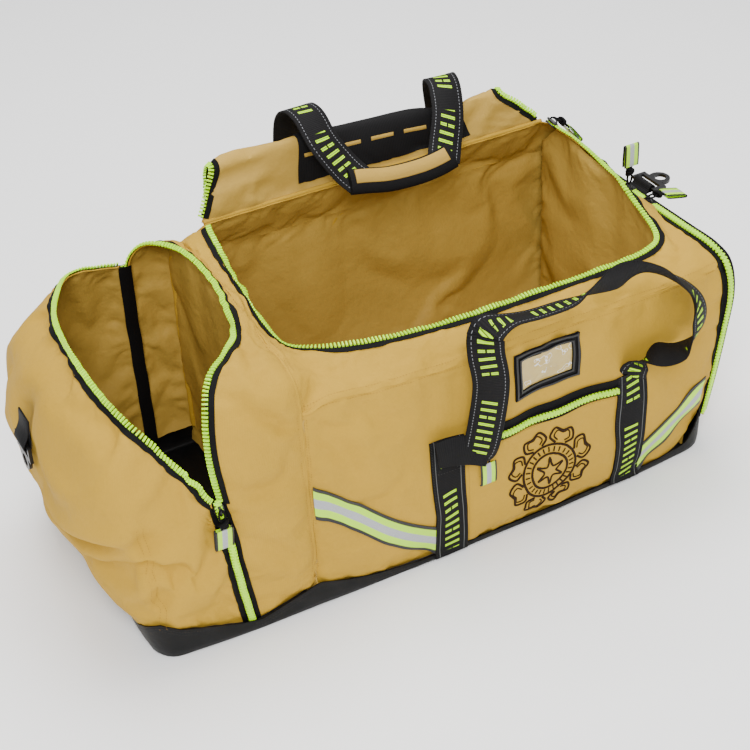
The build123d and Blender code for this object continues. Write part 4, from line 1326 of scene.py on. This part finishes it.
FRONT_FOLD = [((-27, -191, 160), (0, -1, 0)), ((-8, -196, 162), (0, -1, 0.1)),
              ((14, -200, 158), (0, -1, 0.1)), ((36, -204, 149), (0, -1, 0.1))]
# Both handles leave the straps over this height.
BEND_LOW, BEND_HIGH = 136, 178


def back_leg(x_foot, lean, top, x_grip, z_grip):
    """Half of the back handle: up behind the hanging lid, over it, and down to the grip."""
    x_over = x_foot + 1.5 * lean
    return [((x_foot, 189, 130), REAR), ((x_foot, 192, 160), REAR), ((x_foot, 203, 205), REAR),
            ((x_foot + 0.3 * lean, 208, 280), REAR),
            ((x_foot + 0.6 * lean, 209, 0.5 * (280 + top)), REAR),
            ((x_foot + 0.8 * lean, 205, top - 22), (0, 0.95, 0.3)),
            ((x_foot + lean, 187, top), (0, 0.3, 1)),
            ((x_foot + 1.2 * lean, 160, top - 1), (0, -0.4, 0.9)),
            ((x_over, 133, 0.65 * top + 0.35 * z_grip), (0, -0.7, 0.7)),
            ((0.4 * x_over + 0.6 * x_grip, 113, 0.2 * top + 0.8 * z_grip), (-0.1, -0.7, 0.7)),
            ((x_grip, 99, z_grip), (-0.1, -0.7, 0.7))]


def make_handles():
    """The webbing of the front and back handles, from where each leaves the straps."""
    shape = Shape()
    ribbon(shape, FRONT_HANDLE, WEBBING - 2)
    ribbon(shape, FRONT_FOLD, WEBBING - 5, slot=1)
    blend = ("front_handle", (0, -200, BEND_LOW), (0, -200, BEND_HIGH))
    finish_piece(shape, "front_handle_webbing", [WEB_HANDLE, WEB_PLAIN], "bag",
                 ["front_handle"], blend)
    shape = Shape()
    ribbon(shape, back_leg(STRAP_X[0], 14, 430, 40, 360), WEBBING - 2)
    ribbon(shape, back_leg(STRAP_X[1], -40, 418, 158, 352), WEBBING - 2)
    blend = ("back_handle", (0, 184, BEND_LOW), (0, 184, BEND_HIGH))
    finish_piece(shape, "back_handle_webbing", [WEB_HANDLE, WEB_PLAIN], "bag",
                 ["back_handle"], blend)


def make_grip():
    """The wrap round the back handle's grip, with its tan lining showing along it."""
    path = even([(26, 99, 362), (48, 98, 358), (80, 96, 352), (120, 96, 350), (148, 97, 352),
                 (170, 99, 356)], spacing=4)
    down, facing = np.array([0, -0.63, -0.77]), np.array([0, -0.77, 0.63])
    shape = Shape().sweep(path, down, disc(16, 27, 6.5 / 16))
    lining_path = smooth(path[2:-2] + 4.6 * facing - 5.0 * down, 2)
    shape.sweep(lining_path, down, strip(17, 2.6), slot=1)
    finish_piece(shape, "back_handle_wrap", [WRAP_CLOTH, CANVAS_INSIDE], "back_handle",
                 ["back_handle_grip"])


# --- the lid's slotted panel ---------------------------------------------------------------
SLOT_COUNT = 5


def make_slot_panel():
    """Black binding sewn along the lid's rise and fold, with a row of slots edged in tan."""
    low, high = node_box("lid_slot_panel")
    grid = panels["lid"]
    x = grid[:, 0, 0]
    inside = (x > low[0]) & (x < high[0])
    height = grid[..., 2].mean(axis=0)
    top = int(np.argmax(height))
    piece = grid[inside][:, 3:top + 2]
    piece = piece + normals(piece) * CLOTH
    lengths = running_length(piece.swapaxes(0, 1))
    share = np.broadcast_to(lengths / lengths[-1], piece.shape[:2])
    along = np.broadcast_to((running_length(piece) * MM)[:, None], piece.shape[:2])
    shape = Shape().sheet(piece, 1.0, uv=np.stack([share, along], axis=-1))
    slots = Shape()
    column = int(0.55 * piece.shape[1])
    row = piece[:, column] + np.array((0, -0.3, 0.1))
    length = running_length(row)
    pitch = length[-1] / SLOT_COUNT
    off = normals(piece)[len(piece) // 2, column]
    for k in range(SLOT_COUNT):
        places = np.linspace((k + 0.16) * pitch, (k + 0.84) * pitch, 12)
        part = sample(row, length, places)
        slots.sweep(part, np.cross(off, tangents(part)), strip(5.0, 0.9))
    finish_piece(shape, "lid_slot_band", [WEB_PLAIN], "lid_rear", ["lid_slot_panel"], LID_BLEND)
    finish_piece(slots, "lid_slot_edges", [CANVAS_INSIDE], "lid_rear")


# --- sliders, pulls and rings --------------------------------------------------------------
SLIDER_LENGTH, SLIDER_WIDTH = 17, 12
PULL_LENGTH = 52
PULL_DROOP = {"end_front": 13.0, "main": 12.0, "pocket": -5.0}   # how far a lying pull's tip sinks
PULL_LONGER = {"pocket": 14.0}                                   # its cord reaches past the handle
SLIDER_WAYS = {           # the way along the zip, off it, and the way the pull hangs
    "helmet_front": ((20, 0, -165), (0, -1, 0), (0, 0, -1)),
    "helmet_back": ((0, 0, -1), (0, 1, 0), (0, 0, -1)),
    "pocket": ((1, 0, 0), (0, -1, 0), (0, 0, -1)),
    "end_front": ((0, 1, 0), (0, 0, 1), (1, 0, 0)),
    "end_back": ((0, 1, 0), (0, 0, 1), (0, 0, 1)),
    "end_face": ((0, 1, 0), (1, 0, 0), (0, 0, -1)),
    "main": ((0, -276, -49), (0.6, 0, 0.8), (0.8, 0, -0.6)),
}


def shield(length, width, nose):
    """Outline of a slider plate: round at one end, flared towards the other."""
    return [(-0.36 * width, -length / 2), (0.36 * width, -length / 2), (0.5 * width, -0.3 * length),
            (0.5 * width, 0.1 * length), (nose * width, length / 2), (-nose * width, length / 2),
            (-0.5 * width, 0.1 * length), (-0.5 * width, -0.3 * length)]


def plate(shape, outline, origin, axes, low, high, soft=0.7):
    """A flat moulded plate with softened edges, standing on a plane."""
    outline = even(list(outline) + [outline[0]], count=29)[:-1]
    middle = outline.mean(axis=0)
    inner = middle + (outline - middle) * (1 - soft / np.linalg.norm(outline - middle, axis=1, keepdims=True))
    rings = [(inner, low), (outline, low + soft), (outline, high - soft), (inner, high)]
    points = np.stack([np.column_stack([ring, np.full(len(ring), z)]) for ring, z in rings])
    world = origin + points @ np.array(axes)
    shape.add(world, grid_faces(4, len(outline), around=True)[:, ::-1])
    for ring, order in ((0, -1), (3, 1)):
        centre = world[ring].mean(axis=0)
        n = len(outline)
        fan = fan_quads([(n, i, (i + 1) % n)[::order] for i in range(n)])
        shape.add(np.concatenate([world[ring], centre[None]]), fan)


def make_slider(name, way, off, hang):
    """A zip's slider: two plates and an arch, from which its pull hangs."""
    body_low, body_high = node_box(f"{name}_slider")
    way, off, hang = (unit(np.array(v, float)) for v in (way, off, hang))
    axes = np.array([np.cross(way, off), way, off])
    foot = (body_low + body_high) / 2 - off * 4
    shape = Shape()
    for low, high in ((1.8, 4.6), (-1.6, 0.2)):
        plate(shape, shield(SLIDER_LENGTH, SLIDER_WIDTH, 0.3), foot, axes, low, high)
    arch = np.array([(0, -6.5, 4.2), (0, -6, 6.4), (0, -3, 7.9), (0, 2, 8.0), (0, 5.5, 6.8), (0, 6.5, 4.2)])
    shape.sweep(foot + even(arch @ axes, spacing=1.2), axes[0], disc(1.5, 8, 0.7))
    finish_piece(shape, f"{name}_zip_slider", [HARDWARE], f"{name}_slider", [f"{name}_slider"])
    make_pull(name, foot + off * 12.5, off, hang)


def make_pull(name, top, off, hang):
    """A zip's pull: a cord loop through the arch, its knot, and a folded reflective tab."""
    lying = abs(hang @ off) < 0.5
    side = np.cross(hang, off) if lying else RIGHT
    face = np.cross(side, hang)
    droop = PULL_DROOP.get(name, 7.0) if lying else 0.0
    back = -6.0 if lying else 0.0
    longer = PULL_LONGER.get(name, 0.0)

    def place(points):
        """Points given sideways, down the pull and off its face."""
        points = np.asarray(points, float)
        sunk = off * droop * np.clip(points[:, 1:2] / PULL_LENGTH, 0, 1)
        return top + points @ np.array([side, hang, face]) - sunk

    shape = Shape()
    loop = [(1.2, 12, 0), (3.4, 6, 0.3 * back), (2.6, 0, 0.6 * back), (0, -3.5, 0.7 * back),
            (-2.6, 0, 0.6 * back), (-3.4, 6, 0.3 * back), (-1.2, 12, 0)]
    shape.sweep(place(even(loop, spacing=1.2)), face, disc(1.3, 8))
    turn = np.linspace(0, 2 * math.pi, 25)
    for tilt, shift in ((0.5, 12.0), (-0.5, 17.0), (0.15, 14.5)):
        ring = np.stack([4.4 * np.cos(turn), shift + tilt * 4 * np.cos(turn), 2.9 * np.sin(turn)], axis=1)
        shape.sweep(place(ring), hang, disc(2.0, 8))
    for x in (-2.2, 2.2):
        cord = [(x * 0.5, 18, 0), (x, 22 + longer / 2, 0.6), (x * 1.1, 27 + longer, 0.2)]
        shape.sweep(place(even(cord, spacing=1.2)), side, disc(1.2, 8))
    front = [(0, 22, 1.6), (0, 30, 1.9), (0, 42, 1.6), (0, PULL_LENGTH - 1.5, 1.2)]
    tab = np.array([*front, (0, PULL_LENGTH, 0), *[(x, y, -z) for x, y, z in front[::-1]]])
    shape.sweep(place(even(tab + (0, longer, 0), spacing=1.6)), side, strip(22, 1.0), slot=1)
    finish_piece(shape, f"{name}_zip_pull", [CORD, TRIM], f"{name}_pull", [f"{name}_pull"])


def make_rings():
    """Webbing tabs for the two moulded rings, which keep their CAD shape."""
    for name, body, eye, face, tail in (("right", "end_flap", RIGHT, UP, 16.0),
                                        ("left", "bag", -UP, -RIGHT, 34.0)):
        ring = f"{name}_anchor_ring"
        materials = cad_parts[ring].data.materials
        materials.clear()
        materials.append(HARDWARE)
        low, high = node_box(ring)
        bar = (low + high) / 2 - eye * (np.abs(eye) @ (high - low) / 2 - 3)
        route = [(-tail, -7.5), (-tail / 2, -5.8), (-3, -5), (2, -4.4), (4.8, -2.4), (5.6, 0), (4.8, 2.4),
                 (2, 4.4), (-3, 4.6), (-tail / 2, -2.6), (-tail, -5.4)]
        path = even([bar + eye * a + face * b for a, b in route], spacing=2.0)
        shape = Shape().sweep(path, np.cross(eye, face), strip(33, 1.5))
        finish_piece(shape, f"{name}_ring_webbing", [WEB_PLAIN], body, [f"{name}_ring_tab"])


# --- stage ---------------------------------------------------------------------------------
def area_light(name, place, aim, size, power):
    """A square soft light, its place and its aim in metres."""
    data = bpy.data.lights.new(name, "AREA")
    data.shape = "RECTANGLE"
    data.size = data.size_y = size
    data.energy = power
    light = bpy.data.objects.new(name, data)
    light.location = place
    light.rotation_euler = (Vector(aim) - Vector(place)).to_track_quat("-Z", "Y").to_euler()
    bpy.context.scene.collection.objects.link(light)


def make_stage():
    """A pale floor, three soft lights and a pale sky."""
    mesh = bpy.data.meshes.new("floor")
    mesh.from_pydata([(-6, -6, 0), (6, -6, 0), (6, 6, 0), (-6, 6, 0)], [], [(0, 1, 2, 3)])
    floor = bpy.data.objects.new("floor", mesh)
    bpy.context.scene.collection.objects.link(floor)
    m = Material("pale_floor", roughness=0.9, specular=0.1)
    m.colour(m.mix(m.noise(3.0), rgb(252, 252, 252), rgb(254, 254, 254)))
    mesh.materials.append(m.material)
    area_light("key", (-1.1, -2.1, 2.5), (0, 0, 0.15), 1.3, 105)
    area_light("fill", (2.2, -1.6, 1.2), (0, 0, 0.15), 1.8, 14)
    area_light("top", (0.2, 0.6, 2.6), (0, 0, 0.1), 1.8, 80)
    world = bpy.data.worlds.new("studio")
    world.use_nodes = True
    world.node_tree.nodes["Background"].inputs["Color"].default_value = (1, 1, 1, 1)
    world.node_tree.nodes["Background"].inputs["Strength"].default_value = 0.75
    bpy.context.scene.world = world


CAMERA_AZIMUTH, CAMERA_ELEVATION, CAMERA_ROLL = -27.16, 35.86, -0.05
CAMERA_TARGET = np.array([-5.1, -4, 150])
CAMERA_DISTANCE = 1969
CAMERA_LENS = 76.8


def make_camera():
    """The camera looks from the front left and above, tilted a little."""
    turn, rise = math.radians(CAMERA_AZIMUTH), math.radians(CAMERA_ELEVATION)
    back = np.array([math.sin(turn) * math.cos(rise), -math.cos(turn) * math.cos(rise), math.sin(rise)])
    level = np.array([math.cos(turn), math.sin(turn), 0])
    upright = np.cross(back, level)
    right = level * math.cos(CAMERA_ROLL) + upright * math.sin(CAMERA_ROLL)
    up = -level * math.sin(CAMERA_ROLL) + upright * math.cos(CAMERA_ROLL)
    data = bpy.data.cameras.new("camera")
    data.lens = CAMERA_LENS
    camera = bpy.data.objects.new("camera", data)
    place = (CAMERA_TARGET + back * CAMERA_DISTANCE) * MM
    camera.matrix_world = Matrix([*zip(right, up, back, place), (0, 0, 0, 1)])
    bpy.context.scene.collection.objects.link(camera)
    bpy.context.scene.camera = camera


make_cloth()
make_piping()
make_base()
make_seams()
make_helmet_zip()
make_rim_zip()
make_lid_zip()
make_end_zip()
make_straps()
make_trims()
pocket_skin = make_pocket()
make_window()
make_badge(pocket_skin)
make_handles()
make_grip()
make_slot_panel()
for slider_name, ways in SLIDER_WAYS.items():
    make_slider(slider_name, *ways)
make_rings()
make_stage()
make_camera()
